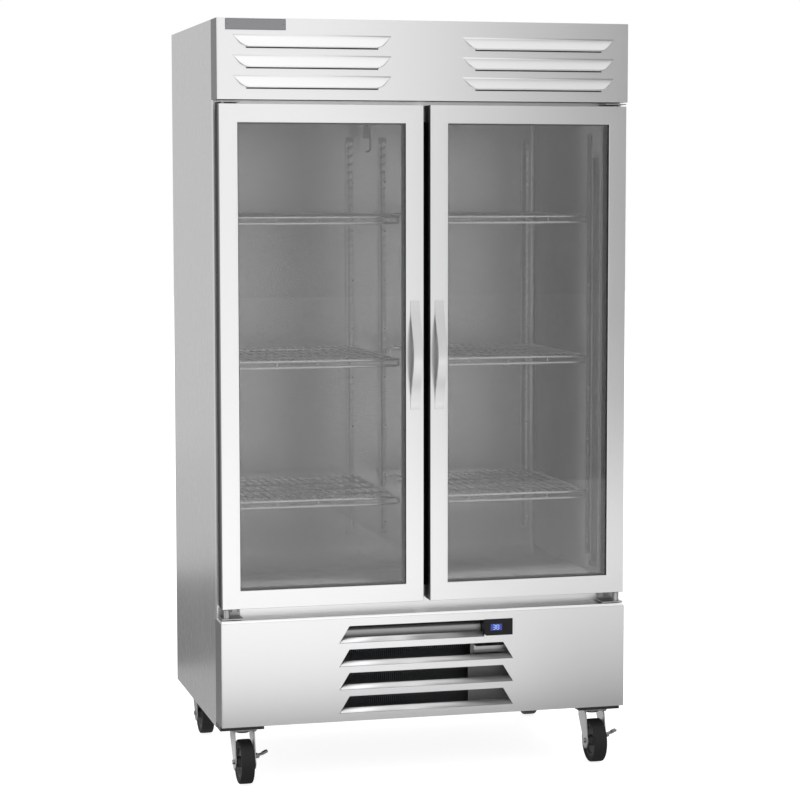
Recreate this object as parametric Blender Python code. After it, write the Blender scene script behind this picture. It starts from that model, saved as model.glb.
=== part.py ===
"""Two-section glass door merchandiser on casters.

Metres, +Z up, front towards -Y. The origin is on the floor, at the middle of the object's footprint.
"""

import math

import bmesh
import bpy
from mathutils import Matrix, Vector

# Driving dimensions of the cabinet.
WIDTH = 1.194
BODY_DEPTH = 0.787
HANDLE_REACH = 0.042
GAP = 0.0003
SHEET = 0.0012

FRONT = -(BODY_DEPTH - HANDLE_REACH) / 2
BACK = FRONT + BODY_DEPTH
SIDE_FRONT = FRONT + 0.093
SEAL_PLANE = FRONT + 0.065

# Heights, from the floor up.
BASE = 0.1565
PANEL_BOTTOM = 0.173
GRILLE_TOP = PANEL_BOTTOM + 0.296
LEDGE_HEIGHT = 0.007
FLOOR_UNDER = PANEL_BOTTOM + 0.322
FLOOR_TOP = FLOOR_UNDER + 0.050
DOOR_BOTTOM = PANEL_BOTTOM + 0.337
DOOR_TOP = DOOR_BOTTOM + 1.408
HEADER_BOTTOM = DOOR_TOP + 0.012
TOP = PANEL_BOTTOM + 1.9795
OPENING_TOP = PANEL_BOTTOM + 1.700
CEILING_UNDER = TOP - 0.052

# Insulated walls.
WALL_OUTER = WIDTH / 2 - SHEET - GAP
WALL_INNER = 0.551
WALL_LOWER_INNER = WALL_OUTER - 0.020
BACK_WALL = 0.050
LINER_BACK = BACK - BACK_WALL
MULLION_HALF = 0.045
MULLION_DEPTH = 0.040

# Doors.
DOOR_EDGE_INSET = 0.0047
DOOR_GAP_HALF = 0.0103
DOOR_DEPTH = 0.058
DOOR_BAR = 0.0507
DOOR_OUTER = WIDTH / 2 - DOOR_EDGE_INSET
GLASS_GRIP = 0.004
GLASS_FRONT = FRONT + 0.006
GLASS_THICK = 0.024
PANE = 0.004
BREATHER_RADIUS = 0.003
GASKET_INSET = 0.018
GASKET_WIDTH = 0.014
HINGE_X = 0.577
HINGE_Y = FRONT + 0.020
PIN_RADIUS = 0.005
PIN_BORE_RADIUS = 0.0055
PIN_ENGAGEMENT = 0.018
HINGE_PLATE_LENGTH = 0.064

# Handles.
HANDLE_WIDTH = 0.026
HANDLE_HALF_LENGTH = 0.1545
HANDLE_MIDDLE = PANEL_BOTTOM + 1.0415
HANDLE_THICK = 0.008
HANDLE_END_THICK = 0.003
HANDLE_STEPS = 24

# Shelves.
SHELF_INNER = 0.050
SHELF_OUTER = 0.529
SHELF_FRONT = FRONT + 0.140
SHELF_BACK = FRONT + 0.655
SHELF_DECK = 0.005
SHELF_LIP = 0.031
SHELF_SLOTS = 12
SHELF_TOPS = {
    "upper": PANEL_BOTTOM + 1.440,
    "middle": PANEL_BOTTOM + 1.029,
    "lower": PANEL_BOTTOM + 0.628,
}

# Casters.
CASTER_X = 0.5245
FRONT_SWIVEL = FRONT + 0.079
REAR_SWIVEL = FRONT + 0.735
TRAIL = 0.032
WHEEL_RADIUS = 0.0635
WHEEL_SIDES = 28
FORK_HALF = 0.030
FORK_SHEET = 0.004
FORK_TOP_HALF = 0.030
CASTER_PLATE = 0.090
CASTER_PLATE_THICK = 0.004
RACE_RADIUS = 0.024
RACE_HEIGHT = 0.0036
AXLE_RADIUS = 0.006
WHEEL_BORE_RADIUS = 0.0066
BRAKE_PIVOT_OUT = 0.0062
BRAKE_PIVOT_RISE = 0.015
BRAKE_HUB_RADIUS = 0.005
BRAKE_HUB_HALF = 0.010

# Controller.
CONTROLLER_LOW = (0.1705, PANEL_BOTTOM + 0.2275)
CONTROLLER_HIGH = (0.2555, PANEL_BOTTOM + 0.2745)
CONTROLLER_PROUD = 0.003
CONTROLLER_DEPTH = 0.050
KEY_SIZE = (0.008, 0.004, 0.020)
KEY_INSET = 0.0115
KEY_PROUD = 0.0009
KEY_CLEARANCE = 0.0004
TOP_SLOT_END = CONTROLLER_LOW[0] - 0.004

# Lamps, in the front corners of the interior.
LED_WALL_GAP = 0.0035
LED_WIDTH = 0.017
LED_DEPTH = 0.024
LED_FRONT = SIDE_FRONT + 0.013
LED_BOTTOM = PANEL_BOTTOM + 0.400
LED_TOP = PANEL_BOTTOM + 1.600

# Louvres pressed outwards in the header, in rows of two.
HOOD_CENTRE = 0.3285
HOOD_HALF_LENGTH = 0.2275
HOOD_SLANT = 0.040
HOOD_HEIGHT = 0.034
HOOD_PITCH = 0.0557
HOOD_REACH = 0.012
HOOD_HIGHEST = TOP - 0.0425
HOOD_ROWS = 3

# Slots of the grille, whose lower lips are bent inwards.
SLOT_HALF_LENGTH = 0.254
SLOT_SLANT = 0.026
SLOT_HEIGHT = 0.045
SLOT_PITCH = 0.0673
SLOT_HIGHEST = PANEL_BOTTOM + 0.274
SLOT_ROWS = 4
LIP_REACH = 0.012
LIP_HEIGHT = 0.012

# Refrigeration.
PAN_THICK = 0.014
DECK = BASE + PAN_THICK + GAP
CONDENSER_FRONT = FRONT + 0.100
CONDENSER_DEPTH = 0.055
CONDENSER_HALF_WIDTH = 0.255
CONDENSER_TOP = PANEL_BOTTOM + 0.262
CONDENSER_FAN_RADIUS = 0.100
SHROUD_FRONT = CONDENSER_FRONT + CONDENSER_DEPTH + 0.002
SHROUD_DEPTH = 0.045
COMPRESSOR_PLACE = (0.26, FRONT + 0.52)
COMPRESSOR_RADIUS = 0.082
COMPRESSOR_HEIGHT = 0.200
EVAPORATOR_BOTTOM = PANEL_BOTTOM + 1.735
EVAPORATOR_FRONT = FRONT + 0.300
EVAPORATOR_HALF_WIDTH = 0.380
EVAPORATOR_FAN_X = -0.180
EVAPORATOR_FAN_Z = (EVAPORATOR_BOTTOM + CEILING_UNDER) / 2
EVAPORATOR_FAN_RADIUS = 0.068
COIL_START = 0.100
COIL_DEPTH = 0.150
FAN_CLEARANCE = 0.006

# Back of the machine compartment.
REAR_GUARD = BACK - 0.0055
GLAND_PLACE = (0.53, BASE + 0.060)
GLAND_RADIUS = 0.012
GLAND_SIDES = 20

PALETTE = {
    "stainless": ((0.62, 0.62, 0.63), 0.32, 1.0),
    "galvanised": ((0.50, 0.52, 0.54), 0.50, 1.0),
    "liner_steel": ((0.58, 0.59, 0.60), 0.35, 1.0),
    "black_plastic": ((0.015, 0.015, 0.016), 0.45, 0.0),
    "rubber": ((0.03, 0.03, 0.03), 0.70, 0.0),
    "glass": ((0.55, 0.60, 0.60), 0.05, 0.0),
    "chrome_wire": ((0.70, 0.70, 0.71), 0.20, 1.0),
    "zinc": ((0.55, 0.56, 0.58), 0.35, 1.0),
    "black_paint": ((0.02, 0.02, 0.02), 0.40, 0.0),
    "fin_aluminium": ((0.66, 0.67, 0.68), 0.40, 1.0),
    "lamp_cover": ((0.90, 0.91, 0.92), 0.30, 0.0),
}


def clear_scene():
    """Removes what the start-up file holds."""
    for obj in list(bpy.data.objects):
        bpy.data.objects.remove(obj, do_unlink=True)


def material(name):
    """The Principled material of a palette entry, made once."""
    found = bpy.data.materials.get(name)
    if found:
        return found
    colour, roughness, metallic = PALETTE[name]
    made = bpy.data.materials.new(name)
    made.use_nodes = True
    shader = made.node_tree.nodes["Principled BSDF"]
    shader.inputs["Base Color"].default_value = (*colour, 1.0)
    shader.inputs["Roughness"].default_value = roughness
    shader.inputs["Metallic"].default_value = metallic
    return made


def make_object(name, bm, material_name, origin=(0, 0, 0)):
    """Turns a bmesh, given in world coordinates, into an object whose origin is at the given point."""
    bmesh.ops.translate(bm, verts=bm.verts, vec=-Vector(origin))
    bmesh.ops.recalc_face_normals(bm, faces=bm.faces)
    mesh = bpy.data.meshes.new(name)
    bm.to_mesh(mesh)
    bm.free()
    obj = bpy.data.objects.new(name, mesh)
    obj.location = origin
    bpy.context.scene.collection.objects.link(obj)
    if material_name:
        mesh.materials.append(material(material_name))
    return obj


def smooth(obj, degrees=35):
    """Shades a round piece smooth, with its real edges kept sharp."""
    obj.data.shade_smooth()
    obj.data.set_sharp_from_angle(angle=math.radians(degrees))
    return obj


def add_box(bm, low, high):
    """Adds a box between two corners."""
    size = Vector(high) - Vector(low)
    middle = (Vector(high) + Vector(low)) / 2
    matrix = Matrix.Translation(middle) @ Matrix.Diagonal((*size, 1.0))
    bmesh.ops.create_cube(bm, size=1.0, matrix=matrix)


def add_prism(bm, outline, axis, start, end):
    """Adds an outline extruded along an axis; its two coordinates follow that axis in X, Y, Z order."""
    along = "XYZ".index(axis)

    def point(pair, distance):
        place = list(pair)
        place.insert(along, distance)
        return bm.verts.new(place)

    first = [point(pair, start) for pair in outline]
    last = [point(pair, end) for pair in outline]
    bm.faces.new(first)
    bm.faces.new(last)
    for i in range(len(outline)):
        j = (i + 1) % len(outline)
        bm.faces.new((first[i], first[j], last[j], last[i]))


def circle(centre, radius, sides, phase=0.0):
    """The corners of a regular polygon about a point of a plane."""
    return [
        (
            centre[0] + radius * math.cos(phase + math.tau * i / sides),
            centre[1] + radius * math.sin(phase + math.tau * i / sides),
        )
        for i in range(sides)
    ]


def add_turned(bm, profile, axis, centre, sides, phase=0.0):
    """Adds a closed profile of (radius, distance along the axis) turned about that axis."""
    along = "XYZ".index(axis)
    rings = []
    for i in range(sides):
        angle = phase + math.tau * i / sides
        ring = []
        for radius, distance in profile:
            place = [radius * math.cos(angle), radius * math.sin(angle)]
            place.insert(along, distance)
            ring.append(bm.verts.new(Vector(place) + Vector(centre)))
        rings.append(ring)
    for i, ring in enumerate(rings):
        following = rings[(i + 1) % sides]
        for j in range(len(profile)):
            k = (j + 1) % len(profile)
            bm.faces.new((ring[j], ring[k], following[k], following[j]))


def box_object(name, low, high, material_name, origin=(0, 0, 0)):
    """A node that is one box."""
    bm = bmesh.new()
    add_box(bm, low, high)
    return make_object(name, bm, material_name, origin)


def boolean(obj, bm, operation, label):
    """Cuts a bmesh's shapes from an object or joins them to it, with a hidden helper object."""
    helper = make_object(f"{obj.name}_{label}", bm, None)
    helper.hide_render = True
    helper.display_type = "WIRE"
    modifier = obj.modifiers.new(label, "BOOLEAN")
    modifier.operation = operation
    modifier.object = helper
    modifier.solver = "EXACT"


def cut(obj, bm, label="cut"):
    boolean(obj, bm, "DIFFERENCE", label)


def join(obj, bm, label="join"):
    boolean(obj, bm, "UNION", label)


def bevel(obj, width):
    """Eases an object's edges by one flat chamfer."""
    modifier = obj.modifiers.new("eased_edges", "BEVEL")
    modifier.width = width
    modifier.segments = 1
    modifier.limit_method = "ANGLE"


def ordered(side, inner, outer):
    """The low and high X of a span on the left (side -1) or the right (side 1)."""
    return sorted((side * inner, side * outer))


# Cabinet.


def side_panel(name, side):
    low_x, high_x = ordered(side, WIDTH / 2 - SHEET, WIDTH / 2)
    box_object(name, (low_x, SIDE_FRONT, BASE), (high_x, BACK, TOP), "stainless")


def side_wall(name, side):
    """An insulated side wall, thinner beside the machine compartment."""
    outline = [
        (side * WALL_OUTER, DECK),
        (side * WALL_OUTER, CEILING_UNDER - GAP),
        (side * WALL_INNER, CEILING_UNDER - GAP),
        (side * WALL_INNER, FLOOR_UNDER),
        (side * WALL_LOWER_INNER, FLOOR_UNDER),
        (side * WALL_LOWER_INNER, DECK),
    ]
    bm = bmesh.new()
    add_prism(bm, outline, "Y", SIDE_FRONT + GAP, LINER_BACK - GAP)
    make_object(name, bm, "liner_steel")


def back_wall():
    low = (-WALL_OUTER, LINER_BACK, FLOOR_UNDER)
    box_object("back_wall", low, (WALL_OUTER, BACK, CEILING_UNDER - GAP), "galvanised")


def ceiling():
    """The insulated top, with the insulated block that stands behind the header panel."""
    core_front = FRONT + SHEET + GAP
    top = TOP - GAP
    outline = [
        (core_front, HEADER_BOTTOM),
        (core_front, top),
        (BACK, top),
        (BACK, CEILING_UNDER),
        (SIDE_FRONT, CEILING_UNDER),
        (SIDE_FRONT, HEADER_BOTTOM),
    ]
    bm = bmesh.new()
    add_prism(bm, outline, "X", -WALL_OUTER, WALL_OUTER)
    make_object("ceiling", bm, "galvanised")


def cabinet_floor():
    half = WALL_INNER - GAP
    low = (-half, SIDE_FRONT + GAP, FLOOR_UNDER)
    box_object("cabinet_floor", low, (half, LINER_BACK - GAP, FLOOR_TOP), "liner_steel")


def face_frame():
    """The ring round both door openings, which the gaskets seal on."""
    low = (-WIDTH / 2, SEAL_PLANE, GRILLE_TOP + GAP)
    high = (WIDTH / 2, SIDE_FRONT - GAP, HEADER_BOTTOM - GAP)
    obj = box_object("face_frame", low, high, "stainless")
    hole = bmesh.new()
    add_box(hole, (-WALL_INNER, FRONT, FLOOR_TOP), (WALL_INNER, BACK, OPENING_TOP))
    cut(obj, hole)


def center_mullion():
    low = (-MULLION_HALF, SEAL_PLANE, FLOOR_TOP + GAP)
    high = (MULLION_HALF, SEAL_PLANE + MULLION_DEPTH, OPENING_TOP - GAP)
    box_object("center_mullion", low, high, "stainless")


def add_hood(bm, span, slants, z_mouth, z_root, face, reach, behind):
    """Adds a pressed louvre's wedge: flush with the face at its root and open at its mouth.

    The root is as wide as span, and the mouth is narrower by a slant at each end. The mouth stands
    off the face by reach, along Y, and the wedge's back is at Y = behind.
    """
    low, high = span
    root = [(low, z_root), (high, z_root)]
    mouth = [(low + slants[0], z_mouth), (high - slants[1], z_mouth)]
    places = (
        ("root", face, root),
        ("mouth", face + reach, mouth),
        ("mouth_back", behind, mouth),
        ("root_back", behind, root),
    )
    corners = {key: [bm.verts.new((x, y, z)) for x, z in pairs] for key, y, pairs in places}
    around = list(corners.values())
    for one, two in zip(around, [*around[1:], around[0]]):
        bm.faces.new((*one, *reversed(two)))
    for end in (0, 1):
        bm.faces.new([pair[end] for pair in around])


def front_panel(name, low_z, high_z):
    """A sheet across the front with a return at each side."""
    half = WIDTH / 2
    inner = half - SHEET
    outline = [
        (-half, FRONT),
        (half, FRONT),
        (half, SIDE_FRONT - GAP),
        (inner, SIDE_FRONT - GAP),
        (inner, FRONT + SHEET),
        (-inner, FRONT + SHEET),
        (-inner, SIDE_FRONT - GAP),
        (-half, SIDE_FRONT - GAP),
    ]
    bm = bmesh.new()
    add_prism(bm, outline, "Z", low_z, high_z)
    return make_object(name, bm, "stainless")


def header_panel():
    """Louvres pressed outwards, open at the bottom, in two groups."""
    panel = front_panel("header_panel", HEADER_BOTTOM, TOP)
    slants = (HOOD_SLANT, HOOD_SLANT)
    hoods = bmesh.new()
    mouths = bmesh.new()
    trim = 2.5 * SHEET
    for side in (-1, 1):
        centre = side * HOOD_CENTRE
        outer = (centre - HOOD_HALF_LENGTH, centre + HOOD_HALF_LENGTH)
        inner = (outer[0] + trim, outer[1] - trim)
        for row in range(HOOD_ROWS):
            root = HOOD_HIGHEST - row * HOOD_PITCH
            mouth = root - HOOD_HEIGHT
            add_hood(hoods, outer, slants, mouth, root, FRONT, -HOOD_REACH, FRONT + SHEET / 2)
            hollow_root = root - 3 * SHEET
            hollow_reach = SHEET - HOOD_REACH
            behind = FRONT + 3 * SHEET
            add_hood(mouths, inner, slants, mouth - SHEET, hollow_root, FRONT, hollow_reach, behind)
    join(panel, hoods, "hoods")
    cut(panel, mouths, "mouths")


def add_slanted_prism(bm, profile, span, slants, z_root):
    """Adds a profile of (Y, Z) points along X, whose ends close in above z_root at a slot's slants."""
    ends = ([], [])
    for y, z in profile:
        rise = (z - z_root) / SLOT_HEIGHT
        ends[0].append(bm.verts.new((span[0] + slants[0] * rise, y, z)))
        ends[1].append(bm.verts.new((span[1] - slants[1] * rise, y, z)))
    for end in ends:
        bm.faces.new(end)
    for i in range(len(profile)):
        j = (i + 1) % len(profile)
        bm.faces.new((ends[0][i], ends[0][j], ends[1][j], ends[1][i]))


def grille_panel():
    """Four open slots with lower lips bent inwards, and the controller's cut-out."""
    panel = front_panel("grille_panel", PANEL_BOTTOM, GRILLE_TOP)
    rear = FRONT + SHEET
    core = FRONT + SHEET / 2
    outside = FRONT - 3 * SHEET
    trim = 2 * SHEET
    lips = bmesh.new()
    slots = bmesh.new()
    for row in range(SLOT_ROWS):
        top = SLOT_HIGHEST - row * SLOT_PITCH
        root = top - SLOT_HEIGHT
        lip_top = root + LIP_HEIGHT
        outer = (-SLOT_HALF_LENGTH, TOP_SLOT_END if row == 0 else SLOT_HALF_LENGTH)
        inner = (outer[0] + trim, outer[1] - trim)
        slants = (SLOT_SLANT, 0.0 if row == 0 else SLOT_SLANT)
        lip = [(core, root), (rear, root), (rear + LIP_REACH, lip_top), (core, lip_top)]
        add_slanted_prism(lips, lip, outer, slants, root)
        opening = [
            (outside, root + trim),
            (rear, root + trim),
            (rear + LIP_REACH - SHEET, lip_top + SHEET),
            (rear + LIP_REACH - SHEET, top),
            (outside, top),
        ]
        add_slanted_prism(slots, opening, inner, slants, root)
    join(panel, lips, "lips")
    add_box(
        slots,
        (CONTROLLER_LOW[0] - GAP, outside, CONTROLLER_LOW[1] - GAP),
        (CONTROLLER_HIGH[0] + GAP, rear + trim, CONTROLLER_HIGH[1] + GAP),
    )
    cut(panel, slots, "slots")


def sill_ledge():
    """The ledge on top of the grille panel, with an eased front edge."""
    ease = 0.003
    low_z = GRILLE_TOP + GAP
    high_z = low_z + LEDGE_HEIGHT
    back = SEAL_PLANE - GAP
    front = FRONT + 0.001
    outline = [
        (front, low_z),
        (front, high_z - ease),
        (front + ease, high_z),
        (back, high_z),
        (back, low_z),
    ]
    bm = bmesh.new()
    add_prism(bm, outline, "X", -WALL_OUTER, WALL_OUTER)
    make_object("sill_ledge", bm, "stainless")


def base_frame():
    """The pan under the machine compartment, with ears over the front casters and pockets under it."""
    low = (-WALL_OUTER, FRONT + 0.034, BASE)
    high = (WALL_OUTER, BACK - 0.0015, BASE + PAN_THICK)
    skin = 0.003
    obj = box_object("base_frame", low, high, "galvanised")
    pockets = bmesh.new()
    rail = 0.140
    rib = 0.030
    count = 3
    length = (2 * (WALL_OUTER - rail) - (count - 1) * rib) / count
    for i in range(count):
        start = -WALL_OUTER + rail + i * (length + rib)
        add_box(
            pockets,
            (start, SIDE_FRONT + rib, BASE - 0.01),
            (start + length, high[1] - rib, high[2] - skin),
        )
    cut(obj, pockets)
    notch = bmesh.new()
    ear = CASTER_X - 0.055
    add_box(notch, (-ear, FRONT, BASE - 0.01), (ear, SIDE_FRONT, BASE + 2 * PAN_THICK))
    cut(obj, notch, "notch")


def badge_plate():
    """A blank plate at the header's upper left."""
    low = (-0.573, FRONT - 0.0023, TOP - 0.0325)
    high = (-0.404, FRONT - GAP, TOP - 0.002)
    bevel(box_object("badge_plate", low, high, "zinc"), 0.0006)


def rear_grille():
    """The slotted guard across the back of the machine compartment."""
    face = REAR_GUARD
    low_z = DECK
    high_z = FLOOR_UNDER - GAP
    low = (-WALL_OUTER, face - SHEET, low_z)
    obj = box_object("rear_grille", low, (WALL_OUTER, face, high_z), "galvanised")
    slots = bmesh.new()
    rows = 8
    margin = 0.045
    pitch = (high_z - low_z - 2 * margin) / (rows - 1)
    slot_half = (0.130, 0.006)
    for row in range(rows):
        z = low_z + margin + row * pitch
        for centre in (-0.33, 0.0, 0.33):
            add_box(
                slots,
                (centre - slot_half[0], face - 0.01, z - slot_half[1]),
                (centre + slot_half[0], face + 0.01, z + slot_half[1]),
            )
    hole = circle(GLAND_PLACE, GLAND_RADIUS + GAP, GLAND_SIDES)
    add_prism(slots, hole, "Y", face - 0.01, face + 0.01)
    cut(obj, slots)


def power_gland():
    """The bush that the supply cord leaves through."""
    face = REAR_GUARD
    bore = 0.0045
    flange = 0.018
    inner_end = face - 0.020
    profile = [
        (bore, inner_end),
        (bore, BACK),
        (flange - 0.004, BACK),
        (flange, BACK - 0.003),
        (flange, face + GAP),
        (GLAND_RADIUS, face + GAP),
        (GLAND_RADIUS, inner_end),
    ]
    bm = bmesh.new()
    centre = (GLAND_PLACE[0], 0, GLAND_PLACE[1])
    add_turned(bm, profile, "Y", centre, GLAND_SIDES)
    smooth(make_object("power_gland", bm, "black_plastic"))


# Doors. Each is modelled closed; its objects' origins are on the hinge axis.


def hinge_point(side):
    return (side * HINGE_X, HINGE_Y, 0.0)


def door_span(side, inset):
    """The low and high X of a door, inset from its edges."""
    return ordered(side, DOOR_GAP_HALF + inset, DOOR_OUTER - inset)


def door_ring_box(side, inset, low_y, high_y):
    low_x, high_x = door_span(side, inset)
    return (low_x, low_y, DOOR_BOTTOM + inset), (high_x, high_y, DOOR_TOP - inset)


def door_frame(name, side):
    """The hollow-centred frame, with a groove for the glass and bores for the hinge pins."""
    low, high = door_ring_box(side, 0.0, FRONT, FRONT + DOOR_DEPTH)
    obj = box_object(name, low, high, "stainless", hinge_point(side))
    opening = bmesh.new()
    add_box(opening, *door_ring_box(side, DOOR_BAR, FRONT - 0.01, FRONT + DOOR_DEPTH + 0.01))
    cut(obj, opening, "opening")
    groove = bmesh.new()
    add_box(
        groove,
        *door_ring_box(side, DOOR_BAR - GLASS_GRIP, GLASS_FRONT, GLASS_FRONT + GLASS_THICK),
    )
    cut(obj, groove, "groove")
    bores = bmesh.new()
    for end, inward in ((DOOR_BOTTOM, 1), (DOOR_TOP, -1)):
        outline = circle((side * HINGE_X, HINGE_Y), PIN_BORE_RADIUS, 16)
        start = end - inward * 0.01
        add_prism(bores, outline, "Z", start, end + inward * (PIN_ENGAGEMENT + 0.002))
    cut(obj, bores, "bores")


def glass_unit(name, side):
    """Two panes round an air space, which a breather hole at the top opens."""
    inset = DOOR_BAR - GLASS_GRIP + GAP
    low_y = GLASS_FRONT + GAP
    high_y = GLASS_FRONT + GLASS_THICK - GAP
    low, high = door_ring_box(side, inset, low_y, high_y)
    obj = box_object(name, low, high, "glass", hinge_point(side))
    spacer = 0.012
    hollow = bmesh.new()
    add_box(hollow, *door_ring_box(side, inset + spacer, low_y + PANE, high_y - PANE))
    cut(obj, hollow, "air_space")
    breather = bmesh.new()
    centre = ((low[0] + high[0]) / 2, (low_y + high_y) / 2)
    outline = circle(centre, BREATHER_RADIUS, 8)
    add_prism(breather, outline, "Z", high[2] - 2 * spacer, high[2] + 0.01)
    cut(obj, breather, "breather")


def gasket(name, side):
    """The magnetic seal behind the frame."""
    low_y = FRONT + DOOR_DEPTH + GAP
    high_y = SEAL_PLANE - GAP
    low, high = door_ring_box(side, GASKET_INSET, low_y, high_y)
    obj = box_object(name, low, high, "rubber", hinge_point(side))
    opening = bmesh.new()
    inset = GASKET_INSET + GASKET_WIDTH
    add_box(opening, *door_ring_box(side, inset, low_y - 0.01, high_y + 0.01))
    cut(obj, opening)


def handle(name, side):
    """A bowed strap whose ends lie flat on the door."""
    rise = HANDLE_REACH - HANDLE_END_THICK
    outer = []
    inner = []
    for i in range(HANDLE_STEPS + 1):
        t = 2 * i / HANDLE_STEPS - 1
        z = HANDLE_MIDDLE + t * HANDLE_HALF_LENGTH
        out = HANDLE_END_THICK + rise * math.cos(math.pi * t / 2) ** 2
        outer.append((FRONT - out, z))
        if out > HANDLE_THICK + GAP:
            inner.append((FRONT - out + HANDLE_THICK, z))
    inner = [(FRONT - GAP, inner[0][1]), *inner, (FRONT - GAP, inner[-1][1])]
    inner = [(FRONT - GAP, outer[0][1]), *inner, (FRONT - GAP, outer[-1][1])]
    centre = side * (DOOR_GAP_HALF + DOOR_BAR / 2)
    bm = bmesh.new()
    half = HANDLE_WIDTH / 2
    add_prism(bm, [*outer, *reversed(inner)], "X", centre - half, centre + half)
    make_object(name, bm, "stainless", hinge_point(side))


def door(label, side):
    door_frame(f"{label}_door_frame", side)
    glass_unit(f"{label}_glass_unit", side)
    gasket(f"{label}_gasket", side)
    handle(f"{label}_handle", side)


def hinge(name, side, door_end, inward):
    """A bracket on the face frame with the pin that enters the door's end."""
    flange_thick = 0.003
    plate_thick = 0.003
    back = SEAL_PLANE - GAP
    flange_height = 0.026
    clear = 0.005 if inward < 0 else 0.028
    plate_near = door_end - inward * clear
    plate_far = plate_near - inward * plate_thick
    low_x, high_x = ordered(side, WALL_OUTER - HINGE_PLATE_LENGTH, WALL_OUTER - 0.002)
    outline = [
        (FRONT + 0.004, plate_far),
        (FRONT + 0.004, plate_near),
        (back - flange_thick, plate_near),
        (back - flange_thick, plate_far + inward * flange_height),
        (back, plate_far + inward * flange_height),
        (back, plate_far),
    ]
    bm = bmesh.new()
    add_prism(bm, outline, "X", low_x, high_x)
    obj = make_object(name, bm, "zinc")
    pin = bmesh.new()
    place = (side * HINGE_X, HINGE_Y)
    tip = door_end + inward * PIN_ENGAGEMENT
    start = plate_near - inward * plate_thick / 2
    add_prism(pin, circle(place, PIN_RADIUS, 16), "Z", start, tip)
    join(obj, pin, "pin")
    if inward > 0:
        washer = bmesh.new()
        shoulder = door_end - 0.004
        add_prism(washer, circle(place, 1.8 * PIN_RADIUS, 16), "Z", start, shoulder)
        join(obj, washer, "shoulder")


# Interior.


def shelf(name, side, top):
    """A wire shelf, drawn as a slotted deck with an open front lip."""
    low_x, high_x = ordered(side, SHELF_INNER, SHELF_OUTER)
    rail = 0.008
    outline = [
        (SHELF_FRONT, top - SHELF_LIP),
        (SHELF_FRONT, top),
        (SHELF_BACK, top),
        (SHELF_BACK, top - SHELF_DECK),
        (SHELF_FRONT + rail, top - SHELF_DECK),
        (SHELF_FRONT + rail, top - SHELF_LIP),
    ]
    bm = bmesh.new()
    add_prism(bm, outline, "X", low_x, high_x)
    obj = make_object(name, bm, "chrome_wire")
    slots = bmesh.new()
    pitch = (high_x - low_x - rail) / SHELF_SLOTS
    for i in range(SHELF_SLOTS):
        start = low_x + rail + i * pitch
        add_box(
            slots,
            (start, SHELF_FRONT + 2 * rail, top - 0.02),
            (start + pitch - rail, SHELF_BACK - rail, top + 0.01),
        )
    lip_windows = 4
    window_pitch = (high_x - low_x - rail) / lip_windows
    for i in range(lip_windows):
        start = low_x + rail + i * window_pitch
        add_box(
            slots,
            (start, SHELF_FRONT - 0.01, top - SHELF_LIP + 0.006),
            (start + window_pitch - rail, SHELF_FRONT + 1.5 * rail, top - SHELF_DECK - 0.001),
        )
    cut(obj, slots)


def led_bar(name, side):
    """An upright lamp in the front corner of the interior."""
    outer = WALL_INNER - LED_WALL_GAP
    inner = outer - LED_WIDTH
    back = LED_FRONT + LED_DEPTH
    ease = 0.008
    outline = [
        (side * outer, LED_FRONT),
        (side * outer, back),
        (side * (inner + ease), back),
        (side * inner, back - ease),
        (side * inner, LED_FRONT),
    ]
    bm = bmesh.new()
    add_prism(bm, outline, "Z", LED_BOTTOM, LED_TOP)
    make_object(name, bm, "lamp_cover")


def join_motor_mount(obj, centre, hole_radius, rear, length, motor_radius):
    """Joins a strut across a fan hole and the motor on it, facing +Y."""
    x, z = centre
    half = 0.006
    reach = hole_radius + 0.012
    strut = bmesh.new()
    add_box(strut, (x - reach, rear, z - half), (x + reach, rear + 0.006, z + half))
    join(obj, strut, "strut")
    motor = bmesh.new()
    outline = circle(centre, motor_radius, 16)
    add_prism(motor, outline, "Y", rear - 0.004, rear + length)
    join(obj, motor, "motor")


def fan(name, centre, y, radius, hub_radius, blades, material_name):
    """A propeller fan about a Y axis, with pitched blades rooted in its hub."""
    thick = 0.020
    x, z = centre
    bm = bmesh.new()
    add_prism(bm, circle(centre, hub_radius, 20), "Y", y - thick / 2, y + thick / 2)
    obj = make_object(name, bm, material_name, (x, y, z))
    half_root = 0.35 * hub_radius
    half_tip = 0.32 * radius
    sheet = 0.0018
    pitch = math.radians(24)
    for i in range(blades):
        blade = bmesh.new()
        outline = [
            (0.6 * hub_radius, -half_root),
            (radius, -half_tip),
            (radius * math.cos(0.1), half_tip),
            (0.6 * hub_radius, half_root),
        ]
        add_prism(blade, outline, "Y", -sheet / 2, sheet / 2)
        turn = Matrix.Rotation(math.tau * i / blades, 4, "Y") @ Matrix.Rotation(pitch, 4, "X")
        bmesh.ops.transform(blade, matrix=Matrix.Translation((x, y, z)) @ turn, verts=blade.verts)
        join(obj, blade, f"blade_{i}")
    smooth(obj)


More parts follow.
